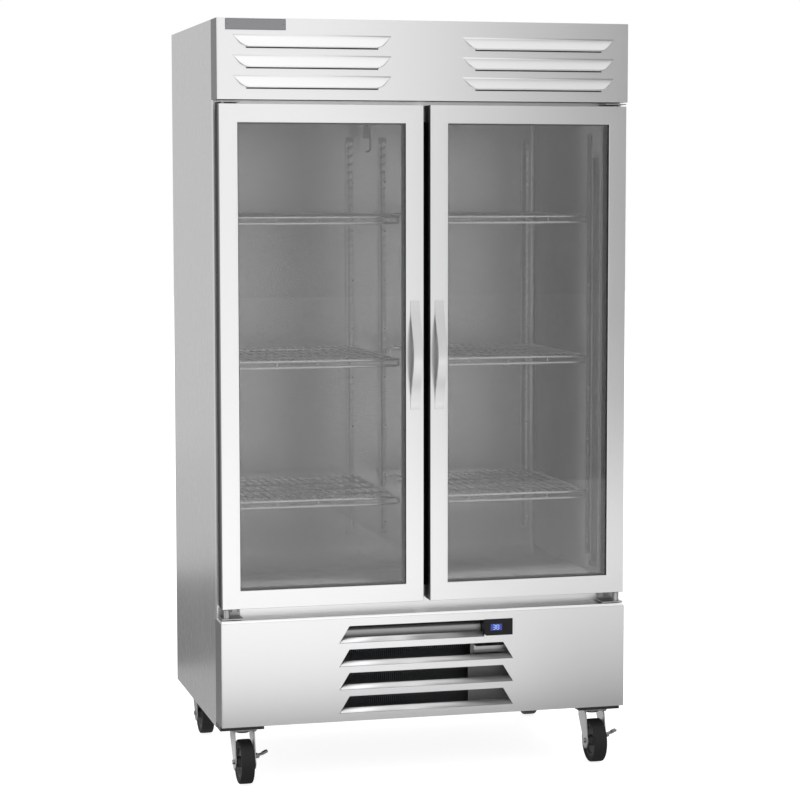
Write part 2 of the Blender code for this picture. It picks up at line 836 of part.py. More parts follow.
def evaporator():
    """The cooling unit under the ceiling: a housing, the coil in it and the fan at its front."""
    wall = 0.003
    low = (-EVAPORATOR_HALF_WIDTH, EVAPORATOR_FRONT, EVAPORATOR_BOTTOM)
    high = (EVAPORATOR_HALF_WIDTH, LINER_BACK - 0.002, CEILING_UNDER - 0.002)
    cover = box_object("evaporator_cover", low, high, "fin_aluminium")
    inside = bmesh.new()
    add_box(
        inside,
        (low[0] + wall, low[1] + wall, low[2] + wall),
        (high[0] - wall, high[1] + 0.01, high[2] - wall),
    )
    cut(cover, inside, "inside")
    x, z = EVAPORATOR_FAN_X, EVAPORATOR_FAN_Z
    hole_radius = EVAPORATOR_FAN_RADIUS + FAN_CLEARANCE
    holes = bmesh.new()
    for centre in (x, -x):
        add_prism(holes, circle((centre, z), hole_radius, 28), "Y", low[1] - 0.01, low[1] + 0.01)
    cut(cover, holes, "air_holes")
    join_motor_mount(cover, (x, z), hole_radius, low[1] + 0.0015, 0.050, 0.022)
    fan_y = EVAPORATOR_FRONT - 0.016
    fan("evaporator_fan", (x, z), fan_y, EVAPORATOR_FAN_RADIUS, 0.016, 4, "black_plastic")
    margin = 0.015
    coil_front = EVAPORATOR_FRONT + COIL_START
    coil = box_object(
        "evaporator_coil",
        (low[0] + margin, coil_front, low[2] + margin),
        (high[0] - margin, coil_front + COIL_DEPTH, high[2] - margin),
        "fin_aluminium",
    )
    cut_fins(coil, low[0] + margin, high[0] - margin, coil_front, 18, low[2], high[2])


def cut_fins(obj, low_x, high_x, face, count, low_z, high_z):
    """Cuts upright grooves across a coil's front face, so that fins stand between them."""
    grooves = bmesh.new()
    pitch = (high_x - low_x) / count
    for i in range(count):
        start = low_x + (i + 0.3) * pitch
        add_box(
            grooves,
            (start, face - 0.01, low_z - 0.01),
            (start + 0.4 * pitch, face + 0.02, high_z + 0.01),
        )
    cut(obj, grooves, "fins")


# Machine compartment.


def condenser():
    """The front coil, the shroud with the fan motor behind it, and the fan in the shroud's hole."""
    half = CONDENSER_HALF_WIDTH
    low = (-half, CONDENSER_FRONT, DECK)
    high = (half, CONDENSER_FRONT + CONDENSER_DEPTH, CONDENSER_TOP)
    coil = box_object("condenser_coil", low, high, "fin_aluminium")
    cut_fins(coil, -half, half, low[1], 24, low[2], high[2])
    shroud_back = SHROUD_FRONT + SHROUD_DEPTH
    shroud = box_object(
        "fan_shroud",
        (-half, SHROUD_FRONT, DECK),
        (half, shroud_back, CONDENSER_TOP),
        "black_paint",
    )
    wall = 0.002
    inside = bmesh.new()
    add_box(
        inside,
        (-half + wall, SHROUD_FRONT - 0.01, DECK + wall),
        (half - wall, shroud_back - wall, CONDENSER_TOP - wall),
    )
    cut(shroud, inside, "inside")
    centre = (0.0, (DECK + CONDENSER_TOP) / 2)
    hole_radius = CONDENSER_FAN_RADIUS + FAN_CLEARANCE
    hole = bmesh.new()
    add_prism(hole, circle(centre, hole_radius, 32), "Y", shroud_back - 0.01, shroud_back + 0.01)
    cut(shroud, hole, "hole")
    join_motor_mount(shroud, centre, hole_radius, shroud_back - 0.001, 0.070, 0.036)
    fan_y = shroud_back - 0.017
    fan("condenser_fan", centre, fan_y, CONDENSER_FAN_RADIUS, 0.024, 5, "zinc")


def compressor():
    """A hermetic compressor: a domed shell on a foot plate."""
    x, y = COMPRESSOR_PLACE
    foot_thick = 0.006
    foot_half = (0.105, 0.080)
    ease = 0.006
    dome = 0.045
    dome_sweep = math.radians(82)
    dome_steps = 4
    bottom = DECK + foot_thick - 0.001
    shoulder = bottom + COMPRESSOR_HEIGHT - dome
    outline = [(COMPRESSOR_RADIUS - ease, bottom), (COMPRESSOR_RADIUS, bottom + ease)]
    for i in range(dome_steps + 1):
        angle = dome_sweep * i / dome_steps
        radius = COMPRESSOR_RADIUS * math.cos(angle)
        outline.append((radius, shoulder + dome * math.sin(angle)))
    bm = bmesh.new()
    add_lathed_solid(bm, outline, COMPRESSOR_PLACE, 24)
    shell = smooth(make_object("compressor", bm, "black_paint"))
    foot = bmesh.new()
    low = (x - foot_half[0], y - foot_half[1], DECK)
    add_box(foot, low, (x + foot_half[0], y + foot_half[1], DECK + foot_thick))
    join(shell, foot, "foot")


def add_lathed_solid(bm, outline, centre, sides):
    """Adds a solid of (radius, height) rings about an upright axis, closed by flat ends."""
    rings = []
    for radius, z in outline:
        rings.append([bm.verts.new((*corner, z)) for corner in circle(centre, radius, sides)])
    bm.faces.new(rings[0])
    bm.faces.new(rings[-1])
    for lower, upper in zip(rings, rings[1:]):
        for i in range(sides):
            j = (i + 1) % sides
            bm.faces.new((lower[i], lower[j], upper[j], upper[i]))


def controller():
    """The temperature controller in the top slot, with its two keys beside the display."""
    front = FRONT - CONTROLLER_PROUD
    low = (CONTROLLER_LOW[0], front, CONTROLLER_LOW[1])
    high = (CONTROLLER_HIGH[0], front + CONTROLLER_DEPTH, CONTROLLER_HIGH[1])
    body = box_object("controller", low, high, "black_plastic")
    pockets = bmesh.new()
    display_half = (0.0175, 0.010)
    middle = ((low[0] + high[0]) / 2 - 0.0065, (low[2] + high[2]) / 2)
    add_box(
        pockets,
        (middle[0] - display_half[0], front - 0.01, middle[1] - display_half[1]),
        (middle[0] + display_half[0], front + 0.001, middle[1] + display_half[1]),
    )
    for name, side in (("left_key", -1), ("right_key", 1)):
        x = middle[0] + side * (display_half[0] + KEY_INSET)
        key_low = Vector((x - KEY_SIZE[0] / 2, front - KEY_PROUD, middle[1] - KEY_SIZE[2] / 2))
        key_high = key_low + Vector(KEY_SIZE)
        box_object(name, key_low, key_high, "black_plastic", (x, front, middle[1]))
        slack = Vector((KEY_CLEARANCE, 0, KEY_CLEARANCE))
        deep = Vector((0, 0.002, 0))
        add_box(pockets, key_low - slack - Vector((0, 0.01, 0)), key_high + slack + deep)
    cut(body, pockets)


# Casters.


def caster_plate(name, x, y):
    half = CASTER_PLATE / 2
    top = BASE - GAP
    low_z = top - CASTER_PLATE_THICK
    obj = box_object(name, (x - half, y - half, low_z), (x + half, y + half, top), "zinc")
    race = bmesh.new()
    outline = circle((x, y), RACE_RADIUS, 20)
    add_prism(race, outline, "Z", low_z - RACE_HEIGHT, low_z + CASTER_PLATE_THICK / 2)
    join(obj, race, "race")


def leg_outline(y):
    """The outline of a fork leg in the YZ plane: wide at the crown and round about the axle."""
    top = BASE - 2 * GAP - CASTER_PLATE_THICK - RACE_HEIGHT
    round_radius = 0.016
    axle = (y - TRAIL, WHEEL_RADIUS)
    steps = 8
    start = math.radians(160)
    sweep = math.radians(205)
    arc = []
    for i in range(steps + 1):
        angle = start + sweep * i / steps
        arc.append((axle[0] + round_radius * math.cos(angle), axle[1] + round_radius * math.sin(angle)))
    return [
        (y + FORK_TOP_HALF, top),
        (y - FORK_TOP_HALF, top),
        (y - FORK_TOP_HALF - 0.003, top - 0.012),
        *arc,
        (y + FORK_TOP_HALF, top - 0.022),
    ]


def fork(name, x, y, has_brake):
    """A swivel fork with its axle bolt; a fork with a brake has two ears beside the lever's hub."""
    bm = bmesh.new()
    add_prism(bm, leg_outline(y), "X", x - FORK_HALF, x + FORK_HALF)
    obj = make_object(name, bm, "zinc", (x, y, 0))
    inside = bmesh.new()
    under_crown = BASE - 2 * GAP - CASTER_PLATE_THICK - RACE_HEIGHT - FORK_SHEET
    clear_half = FORK_HALF - FORK_SHEET
    add_box(inside, (x - clear_half, y - 0.1, 0), (x + clear_half, y + 0.1, under_crown))
    cut(obj, inside, "inside")
    axle = bmesh.new()
    centre = (y - TRAIL, WHEEL_RADIUS)
    reach = FORK_HALF - FORK_SHEET / 2
    add_prism(axle, circle(centre, AXLE_RADIUS, 16), "X", x - reach, x + reach)
    join(obj, axle, "axle")
    head = bmesh.new()
    add_prism(head, circle(centre, 0.0085, 6), "X", x - FORK_HALF - 0.004, x - FORK_HALF + 0.001)
    if has_brake:
        add_brake_ears(head, x, y)
    join(obj, head, "head")


def add_brake_ears(bm, x, y):
    """Adds the two ears on a fork's outer leg, one at each end of the lever's hub."""
    thick = 0.003
    half_height = 0.005
    pivot = brake_pivot(x, y)
    near = BRAKE_HUB_HALF + 0.0005
    for end in (-1, 1):
        low_y, high_y = sorted((pivot[1] + end * near, pivot[1] + end * (near + thick)))
        low = (x + FORK_HALF - 0.001, low_y, pivot[2] - half_height)
        add_box(bm, low, (pivot[0] + thick, high_y, pivot[2] + half_height))


def wheel(name, x, y):
    """A rubber-tyred wheel on its hub, turned about the axle."""
    hub_half = FORK_HALF - FORK_SHEET - 0.0015
    tread_half = 0.019
    web_half = 0.011
    ease = 0.005
    outer = WHEEL_RADIUS / math.cos(math.pi / WHEEL_SIDES)
    half_profile = [
        (WHEEL_BORE_RADIUS, hub_half),
        (0.014, hub_half),
        (0.016, web_half),
        (0.040, web_half),
        (0.044, tread_half - 0.002),
        (outer - ease, tread_half),
        (outer, tread_half - ease),
    ]
    profile = [*half_profile, *[(r, -d) for r, d in reversed(half_profile)]]
    centre = (x, y - TRAIL, WHEEL_RADIUS)
    bm = bmesh.new()
    add_turned(bm, profile, "X", centre, WHEEL_SIDES, math.pi / WHEEL_SIDES + math.pi / 2)
    obj = make_object(name, bm, "rubber", centre)
    smooth(obj)


def brake_pivot(x, y):
    return (
        x + FORK_HALF + BRAKE_PIVOT_OUT,
        y - TRAIL,
        WHEEL_RADIUS + BRAKE_PIVOT_RISE,
    )


def brake(name, x, y):
    """A side lever: a round hub along Y with a bent foot tab that is pressed down to lock."""
    pivot = Vector(brake_pivot(x, y))
    bm = bmesh.new()
    outline = circle((pivot.x, pivot.z), BRAKE_HUB_RADIUS, 12)
    add_prism(bm, outline, "Y", pivot.y - BRAKE_HUB_HALF, pivot.y + BRAKE_HUB_HALF)
    obj = make_object(name, bm, "zinc", pivot)
    sheet = 0.003
    bend = (pivot.x + 0.014, pivot.z + 0.004)
    tip = (pivot.x + 0.030, pivot.z + 0.014)
    tab = [
        (pivot.x, pivot.z - sheet / 2),
        (bend[0], bend[1] - sheet),
        (tip[0], tip[1] - sheet),
        tip,
        bend,
        (pivot.x, pivot.z + sheet),
    ]
    tab_half = BRAKE_HUB_HALF - 0.001
    foot = bmesh.new()
    add_prism(foot, tab, "Y", pivot.y - tab_half, pivot.y + tab_half)
    join(obj, foot, "tab")


def caster(label, x, y, has_brake):
    caster_plate(f"{label}_plate", x, y)
    fork(f"{label}_fork", x, y, has_brake)
    wheel(f"{label}_wheel", x, y)
    if has_brake:
        brake(f"{label}_brake", x, y)


def build():
    clear_scene()
    for label, side in (("left", -1), ("right", 1)):
        side_panel(f"{label}_side_panel", side)
        side_wall(f"{label}_wall", side)
        door(label, side)
        hinge(f"{label}_lower_hinge", side, DOOR_BOTTOM, 1)
        hinge(f"{label}_upper_hinge", side, DOOR_TOP, -1)
        led_bar(f"led_bar_{label}", side)
        for level, top in SHELF_TOPS.items():
            shelf(f"{label}_shelf_{level}", side, top)
        caster(f"front_{label}", side * CASTER_X, FRONT_SWIVEL, True)
        caster(f"rear_{label}", side * CASTER_X, REAR_SWIVEL, False)
    back_wall()
    ceiling()
    cabinet_floor()
    face_frame()
    center_mullion()
    header_panel()
    grille_panel()
    sill_ledge()
    base_frame()
    badge_plate()
    rear_grille()
    power_gland()
    evaporator()
    condenser()
    compressor()
    controller()


build()
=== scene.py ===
"""The looks of a two-section glass door merchandiser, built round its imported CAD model.

Metres, +Z up. The doors face -Y, and the origin is on the floor under the middle of the object.
"""

import math

import bmesh
import bpy
from mathutils import Matrix, Vector

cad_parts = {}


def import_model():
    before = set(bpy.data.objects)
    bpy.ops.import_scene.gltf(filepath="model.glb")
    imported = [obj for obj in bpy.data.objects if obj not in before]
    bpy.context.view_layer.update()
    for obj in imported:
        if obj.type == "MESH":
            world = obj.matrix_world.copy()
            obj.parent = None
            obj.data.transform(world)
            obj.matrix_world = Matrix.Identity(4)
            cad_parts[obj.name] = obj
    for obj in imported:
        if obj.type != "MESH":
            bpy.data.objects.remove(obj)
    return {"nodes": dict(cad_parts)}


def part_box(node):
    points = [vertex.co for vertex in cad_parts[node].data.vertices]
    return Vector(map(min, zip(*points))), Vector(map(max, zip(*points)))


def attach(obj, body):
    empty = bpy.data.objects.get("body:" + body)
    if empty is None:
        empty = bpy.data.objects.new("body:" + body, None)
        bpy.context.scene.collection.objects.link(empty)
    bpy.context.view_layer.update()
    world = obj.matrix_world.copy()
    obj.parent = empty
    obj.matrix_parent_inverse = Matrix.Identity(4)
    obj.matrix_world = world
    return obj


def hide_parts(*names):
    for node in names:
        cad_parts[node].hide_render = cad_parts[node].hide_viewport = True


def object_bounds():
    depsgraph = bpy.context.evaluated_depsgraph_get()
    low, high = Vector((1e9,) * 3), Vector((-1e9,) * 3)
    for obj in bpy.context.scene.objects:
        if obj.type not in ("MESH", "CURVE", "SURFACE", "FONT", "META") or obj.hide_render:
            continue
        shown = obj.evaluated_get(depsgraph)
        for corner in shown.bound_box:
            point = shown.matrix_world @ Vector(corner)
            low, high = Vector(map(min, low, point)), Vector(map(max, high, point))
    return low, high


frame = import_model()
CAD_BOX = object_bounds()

SIDES = {"left": -1, "right": 1}
LEVELS = ("lower", "middle", "upper")
CORNERS = ("front_left", "front_right", "rear_left", "rear_right")

# Sheet metal.
SHEET = 0.0012
BEND = 0.0028
EASE = 0.0008

# Louvres pressed outwards in the header.
HOOD_CENTRE = 0.3285
HOOD_HALF_LENGTH = 0.2275
HOOD_SLANT = 0.028
HOOD_HEIGHT = 0.034
HOOD_PITCH = 0.0557
HOOD_REACH = 0.0115
HOOD_DROP = 0.0425
HOOD_ROWS = 3
HOOD_CORNER = 0.010
HOOD_ROOT = 0.16
HOOD_CURL = 0.0028
HOOD_DRAFT = 0.55
HOOD_STAND = 0.0120
HOOD_MARGIN = 0.002
HOOD_HOLE_DROP = 0.012
HOOD_GAP = 0.0030

# Slots of the grille.
SLOT_HALF_LENGTH = 0.258
SLOT_SLANT = 0.030
SLOT_HEIGHT = 0.049
SLOT_PITCH = 0.0673
SLOT_DROP = 0.022
SLOT_ROWS = 4
LIP_BEND = 0.042
LIP_TURN = 23
LIP_GAP = 0.0015

# Doors.
DOOR_BAR = 0.0507
CAP_PROUD = 0.0006
CAP_RETURN = 0.020
PANE = 0.004
HANDLE_THICK = 0.008
HANDLE_END = 0.003

# Interior.
LINER_SHEET = 0.0008
PILASTER_WIDTH = 0.024
PILASTER_DEPTH = 0.006
PILASTER_PITCH = 0.0254
SCREW_PITCH = 0.1524
WIRE = 0.0036
RAIL = 0.0042
WIRE_PITCH = 0.0254
SHELF_REACH = 0.009
SHELF_FOLD = 0.030
SHELF_CORNER = 0.010
CLIP = 0.0015

# Backing of the grille.
CHANNEL_FRONT = 0.032
CHANNEL_BACK = 0.056
CHANNEL_HEIGHT = 0.046
CHANNEL_BEND = 0.012

# Controller: half of its display, and which of a digit's segments are lit.
DISPLAY_HALF = (0.0175, 0.0100)
DIGIT = (0.0072, 0.0125)
THREE = "1111001"
EIGHT = "1111111"

# Casters.
PLATE_THICK = 0.0026
FORK_HALF = 0.030
FORK_SHEET = 0.004
TREAD_HALF = 0.019
TYRE_INNER = 0.045

# Camera: place, turn from +Y towards +X, tilt below the horizon, roll and lens.
CAMERA_PLACE = (-1.7493, -6.8641, 1.6850)
CAMERA_YAW = math.radians(14.427)
CAMERA_PITCH = math.radians(5.0875)
CAMERA_ROLL = math.radians(-0.0569)
CAMERA_LENS = 106.96

# Studio: the surround's brightness, and the floor's own glow that keeps its shadow pale.
SURROUND_LIGHT = 1.33
FLOOR_GLOW = 0.86


# Mesh helpers.


def add_box(bm, low, high, slot=0):
    """Adds a box between two corners."""
    size = Vector(high) - Vector(low)
    middle = (Vector(high) + Vector(low)) / 2
    matrix = Matrix.Translation(middle) @ Matrix.Diagonal((*size, 1.0))
    made = bmesh.ops.create_cube(bm, size=1.0, matrix=matrix)
    for face in {face for vert in made["verts"] for face in vert.link_faces}:
        face.material_index = slot


def add_prism(bm, outline, axis, start, end, slot=0):
    """Adds an outline extruded along an axis; its two coordinates follow that axis in X, Y, Z order."""
    along = "XYZ".index(axis)

    def ring(distance):
        places = [list(pair) for pair in outline]
        for place in places:
            place.insert(along, distance)
        return [bm.verts.new(place) for place in places]

    skin(bm, [ring(start), ring(end)], slot)


def skin(bm, rings, slot=0, closed=False, capped=True):
    """Joins successive rings of corners with quads, and caps the two ends unless it is closed."""
    following = [*rings[1:], rings[0]] if closed else rings[1:]
    for one, two in zip(rings, following):
        for i in range(len(one)):
            j = (i + 1) % len(one)
            bm.faces.new((one[i], one[j], two[j], two[i])).material_index = slot
    if capped and not closed:
        for end in (rings[0], rings[-1]):
            bm.faces.new(end).material_index = slot


def arc(centre, radius, start, end, steps):
    """Points along an arc of a plane, its angles in degrees."""
    points = []
    for i in range(steps + 1):
        angle = math.radians(start + (end - start) * i / steps)
        points.append((centre[0] + radius * math.cos(angle), centre[1] + radius * math.sin(angle)))
    return points


def circle(centre, radius, sides, phase=0.0):
    """The corners of a regular polygon about a point of a plane."""
    return arc(centre, radius, phase, phase + 360 * (sides - 1) / sides, sides - 1)


def add_turned(bm, profile, axis, centre, sides=32, slot=0):
    """Adds a closed profile of (radius, distance along the axis) turned about that axis."""
    along = "XYZ".index(axis)
    rings = []
    for i in range(sides):
        angle = math.tau * i / sides
        ring = []
        for radius, distance in profile:
            place = [radius * math.cos(angle), radius * math.sin(angle)]
            place.insert(along, distance)
            ring.append(bm.verts.new(Vector(place) + Vector(centre)))
        rings.append(ring)
    skin(bm, rings, slot, closed=True)


def add_tube(bm, path, radius, sides=8, slot=0, closed=False):
    """Adds a round wire along a path of points."""
    points = [Vector(point) for point in path]
    count = len(points)
    rings = []
    normal = None
    for i, point in enumerate(points):
        before = points[i - 1] if i or closed else point
        after = points[(i + 1) % count] if i + 1 < count or closed else point
        along = (after - before).normalized()
        if normal is None:
            normal = along.orthogonal()
        normal = (normal - along * normal.dot(along)).normalized()
        across = along.cross(normal)
        ring = []
        for k in range(sides):
            angle = math.tau * k / sides
            offset = normal * math.cos(angle) + across * math.sin(angle)
            ring.append(bm.verts.new(point + radius * offset))
        rings.append(ring)
    skin(bm, rings, slot, closed)


def rounded_path(corners, radius, steps=5, closed=False):
    """A path through the corners, each rounded off over a radius, but for the ends of an open path."""
    points = [Vector(corner) for corner in corners]
    path = [] if closed else [points[0]]
    middle = points if closed else points[1:-1]
    before = [points[-1], *points] if closed else points
    after = [*points[1:], points[0]] if closed else points[2:]
    for one, corner, two in zip(before, middle, after):
        start = corner + (one - corner).normalized() * radius
        end = corner + (two - corner).normalized() * radius
        for i in range(steps + 1):
            t = i / steps
            path.append(start.lerp(corner, t).lerp(corner.lerp(end, t), t))
    return path if closed else [*path, points[-1]]


def add_mitred_ring(bm, profile, low, high, slots=(0, 0)):
    """Sweeps a closed profile of (inset, Y) round an upright rectangle, mitred at its corners.

    The level bars take the first slot and the upright bars the second.
    """
    rings = [[], [], [], []]
    for inset, y in profile:
        corners = (
            (low[0] + inset, y, low[1] + inset),
            (high[0] - inset, y, low[1] + inset),
            (high[0] - inset, y, high[1] - inset),
            (low[0] + inset, y, high[1] - inset),
        )
        for ring, corner in zip(rings, corners):
            ring.append(bm.verts.new(corner))
    for i, ring in enumerate(rings):
        skin(bm, [ring, rings[(i + 1) % 4]], slots[i % 2], capped=False)


def add_screw(bm, place, direction, radius=0.0042, slot=0):
    """Adds a pan-head screw with a hex socket, its head raised along a direction."""
    height = 0.55 * radius
    profile = ((1.0, -0.1), (1.0, 0.25), (0.85, 0.7), (0.6, 0.95), (0.45, 1.0))
    socket = ((0.42, 0.95), (0.42, 0.35))
    turn = Vector((0, 0, 1)).rotation_difference(Vector(direction)).to_matrix()
    rings = []
    for across, up in (*profile, *socket):
        sides = 6 if (across, up) in socket else 18
        ring = []
        for k in range(18):
            angle = math.tau * k / 18
            reach = across * radius
            if sides == 6:
                nearest = math.tau * round(k / 3) / 6
                reach *= math.cos(math.pi / 6) / max(0.87, math.cos(angle - nearest))
            local = Vector((reach * math.cos(angle), reach * math.sin(angle), up * height))
            ring.append(bm.verts.new(Vector(place) + turn @ local))
        rings.append(ring)
    skin(bm, rings, slot)


def add_hex_bolt(bm, place, axis, sign, radius, slot=0):
    """Adds a hex bolt head on a washer, both raised along an axis."""
    along = "XYZ".index(axis)
    centre = [place[i] for i in range(3) if i != along]
    base = place[along]
    washer = 0.16 * radius
    add_prism(bm, circle(centre, 1.35 * radius, 24), axis, base, base + sign * washer, slot)
    start = base + sign * 0.8 * washer
    add_prism(bm, circle(centre, radius, 6), axis, start, base + sign * 0.8 * radius, slot)


def between(start, end, parts):
    """The places that divide a length into equal parts, without its two ends."""
    return [start + (end - start) * i / parts for i in range(1, parts)]


# Object helpers.


def mesh_object(name, bm, materials):
    """Makes an object from a bmesh, its faces turned outwards."""
    bmesh.ops.recalc_face_normals(bm, faces=bm.faces)
    mesh = bpy.data.meshes.new(name)
    bm.to_mesh(mesh)
    bm.free()
    obj = bpy.data.objects.new(name, mesh)
    bpy.context.scene.collection.objects.link(obj)
    for material in materials:
        mesh.materials.append(material)
    return obj


def smooth(obj, degrees=32):
    """Shades an object smooth, with edges sharper than an angle kept."""
    obj.data.shade_smooth()
    obj.data.set_sharp_from_angle(angle=math.radians(degrees))


def flatten_faces(obj):
    """Keeps an object's large flat faces flat in their shading, next to its small bends."""
    modifier = obj.modifiers.new("flat_faces", "WEIGHTED_NORMAL")
    modifier.keep_sharp = True


def ease_edges(obj, width=EASE, segments=2):
    """Rounds an object's real edges by a small radius."""
    modifier = obj.modifiers.new("eased_edges", "BEVEL")
    modifier.width = width
    modifier.segments = segments
    modifier.limit_method = "ANGLE"
    modifier.angle_limit = math.radians(40)
    modifier.harden_normals = True


def cut(obj, bm):
    """Cuts a bmesh's shapes out of an object's mesh for good."""
    cutter = mesh_object("cutter", bm, [])
    modifier = obj.modifiers.new("cut", "BOOLEAN")
    modifier.operation = "DIFFERENCE"
    modifier.object = cutter
    modifier.solver = "EXACT"
    evaluated = obj.evaluated_get(bpy.context.evaluated_depsgraph_get())
    result = bpy.data.meshes.new_from_object(evaluated)
    obj.modifiers.remove(modifier)
    whole = obj.data
    obj.data = result
    bpy.data.meshes.remove(whole)
    bpy.data.objects.remove(cutter)
    result.name = obj.name


def piece(name, bm, finishes, stands_for=(), body="cabinet", ease=None, degrees=32):
    """Makes a piece of the object from a bmesh, with its finishes, replaced nodes and body."""
    materials = [FINISHES[finish] for finish in finishes.split()]
    obj = mesh_object(name, bm, materials)
    smooth(obj, degrees)
    if ease:
        ease_edges(obj, ease)
    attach(obj, body)
    if stands_for:
        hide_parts(*stands_for)
    return obj


# Finishes.


def new_material(name, colour, roughness, metallic=0.0, **sockets):
    """A plain Principled material; a socket's name has underscores for its spaces."""
    material = bpy.data.materials.new(f"{name}_finish")
    material.use_nodes = True
    shader = material.node_tree.nodes["Principled BSDF"]
    shader.inputs["Base Color"].default_value = (*colour, 1.0)
    shader.inputs["Roughness"].default_value = roughness
    shader.inputs["Metallic"].default_value = metallic
    for socket, value in sockets.items():
        shader.inputs[socket.replace("_", " ")].default_value = value
    return material


def noise(material, cycles, detail=4.0):
    """A noise over the object's own coordinates, its cycles per metre given along X, Y and Z."""
    nodes = material.node_tree.nodes
    links = material.node_tree.links
    place = nodes.new("ShaderNodeTexCoord")
    mapping = nodes.new("ShaderNodeMapping")
    mapping.inputs["Scale"].default_value = cycles
    texture = nodes.new("ShaderNodeTexNoise")
    texture.inputs["Scale"].default_value = 1.0
    texture.inputs["Detail"].default_value = detail
    links.new(place.outputs["Object"], mapping.inputs["Vector"])
    links.new(mapping.outputs["Vector"], texture.inputs["Vector"])
    return texture.outputs["Fac"]


def cells(material, size):
    """A random grey for each crystal of a spangled surface."""
    nodes = material.node_tree.nodes
    links = material.node_tree.links
    place = nodes.new("ShaderNodeTexCoord")
    texture = nodes.new("ShaderNodeTexVoronoi")
    texture.inputs["Scale"].default_value = 1.0 / size
    links.new(place.outputs["Object"], texture.inputs["Vector"])
    return texture.outputs["Color"]


def remap(material, value, low, high):
    """Stretches the middle of a noise over a range of values."""
    node = material.node_tree.nodes.new("ShaderNodeMapRange")
    node.inputs["From Min"].default_value = 0.3
    node.inputs["From Max"].default_value = 0.7
    node.inputs["To Min"].default_value = low
    node.inputs["To Max"].default_value = high
    material.node_tree.links.new(value, node.inputs["Value"])
    return node.outputs["Result"]


def mixed(material, one, two, weight):
    """A value between two others."""
    node = material.node_tree.nodes.new("ShaderNodeMix")
    node.inputs[0].default_value = weight
    material.node_tree.links.new(one, node.inputs[2])
    material.node_tree.links.new(two, node.inputs[3])
    return node.outputs[0]


def tint(material, value, dark, light):
    """Colours a material between two colours by a value."""
    node = material.node_tree.nodes.new("ShaderNodeMix")
    node.data_type = "RGBA"
    node.inputs[6].default_value = (*dark, 1.0)
    node.inputs[7].default_value = (*light, 1.0)
    links = material.node_tree.links
    links.new(remap(material, value, 0.0, 1.0), node.inputs[0])
    links.new(node.outputs[2], material.node_tree.nodes["Principled BSDF"].inputs["Base Color"])


def roughen(material, value, low, high):
    """Sets a material's roughness between two limits by a value."""
    shader = material.node_tree.nodes["Principled BSDF"]
    material.node_tree.links.new(remap(material, value, low, high), shader.inputs["Roughness"])


def relief(material, value, depth):
    """Raises a material's surface by up to a depth, in metres, by a value."""
    node = material.node_tree.nodes.new("ShaderNodeBump")
    node.inputs["Distance"].default_value = depth
    node.inputs["Strength"].default_value = 1.0
    links = material.node_tree.links
    links.new(value, node.inputs["Height"])
    links.new(node.outputs["Normal"], material.node_tree.nodes["Principled BSDF"].inputs["Normal"])


def varied(name, colour, roughness, grain, metallic=0.0, tone=0.10, spread=0.05, depth=4e-6, **sockets):
    """A finish with a fine grain and broad smudges in its colour, roughness and relief."""
    material = new_material(name, colour, roughness, metallic, **sockets)
    fine = noise(material, grain)
    broad = noise(material, (6.0, 6.0, 6.0), 3.0)
    both = mixed(material, fine, broad, 0.45)
    dark = [channel * (1 - tone) for channel in colour]
    tint(material, both, dark, colour)
    roughen(material, both, roughness - spread, roughness + spread)
    relief(material, fine, depth)
    return material


def brushed(name, along, colour=(0.68, 0.68, 0.683), roughness=0.30, tone=0.02):
    """Brushed stainless steel, its grain along an axis."""
    grain = [1400.0, 1400.0, 1400.0]
    grain["XYZ".index(along)] = 9.0
    return varied(name, colour, roughness, grain, 1.0, tone, 0.012, 3e-7)


def spangled(name):
    """Galvanised sheet with its pale crystals."""
    material = new_material(name, (0.55, 0.56, 0.57), 0.42, 1.0)
    crystal = cells(material, 0.009)
    tint(material, crystal, (0.50, 0.51, 0.52), (0.57, 0.58, 0.59))
    roughen(material, crystal, 0.40, 0.47)
    relief(material, noise(material, (400.0, 400.0, 400.0)), 3e-6)
    return material


def clear_glass(name, colour):
    """Door glass with a faint film of smudges."""
    material = new_material(name, colour, 0.0, Transmission_Weight=1.0, IOR=1.52)
    roughen(material, noise(material, (9.0, 9.0, 14.0)), 0.0, 0.02)
    return material


def glowing(name, colour, strength):
    """A lit display segment."""
    material = varied(name, (0.02, 0.03, 0.10), 0.25, (2000.0, 2000.0, 2000.0))
    shader = material.node_tree.nodes["Principled BSDF"]
    shader.inputs["Emission Color"].default_value = (*colour, 1.0)
    shader.inputs["Emission Strength"].default_value = strength
    return material


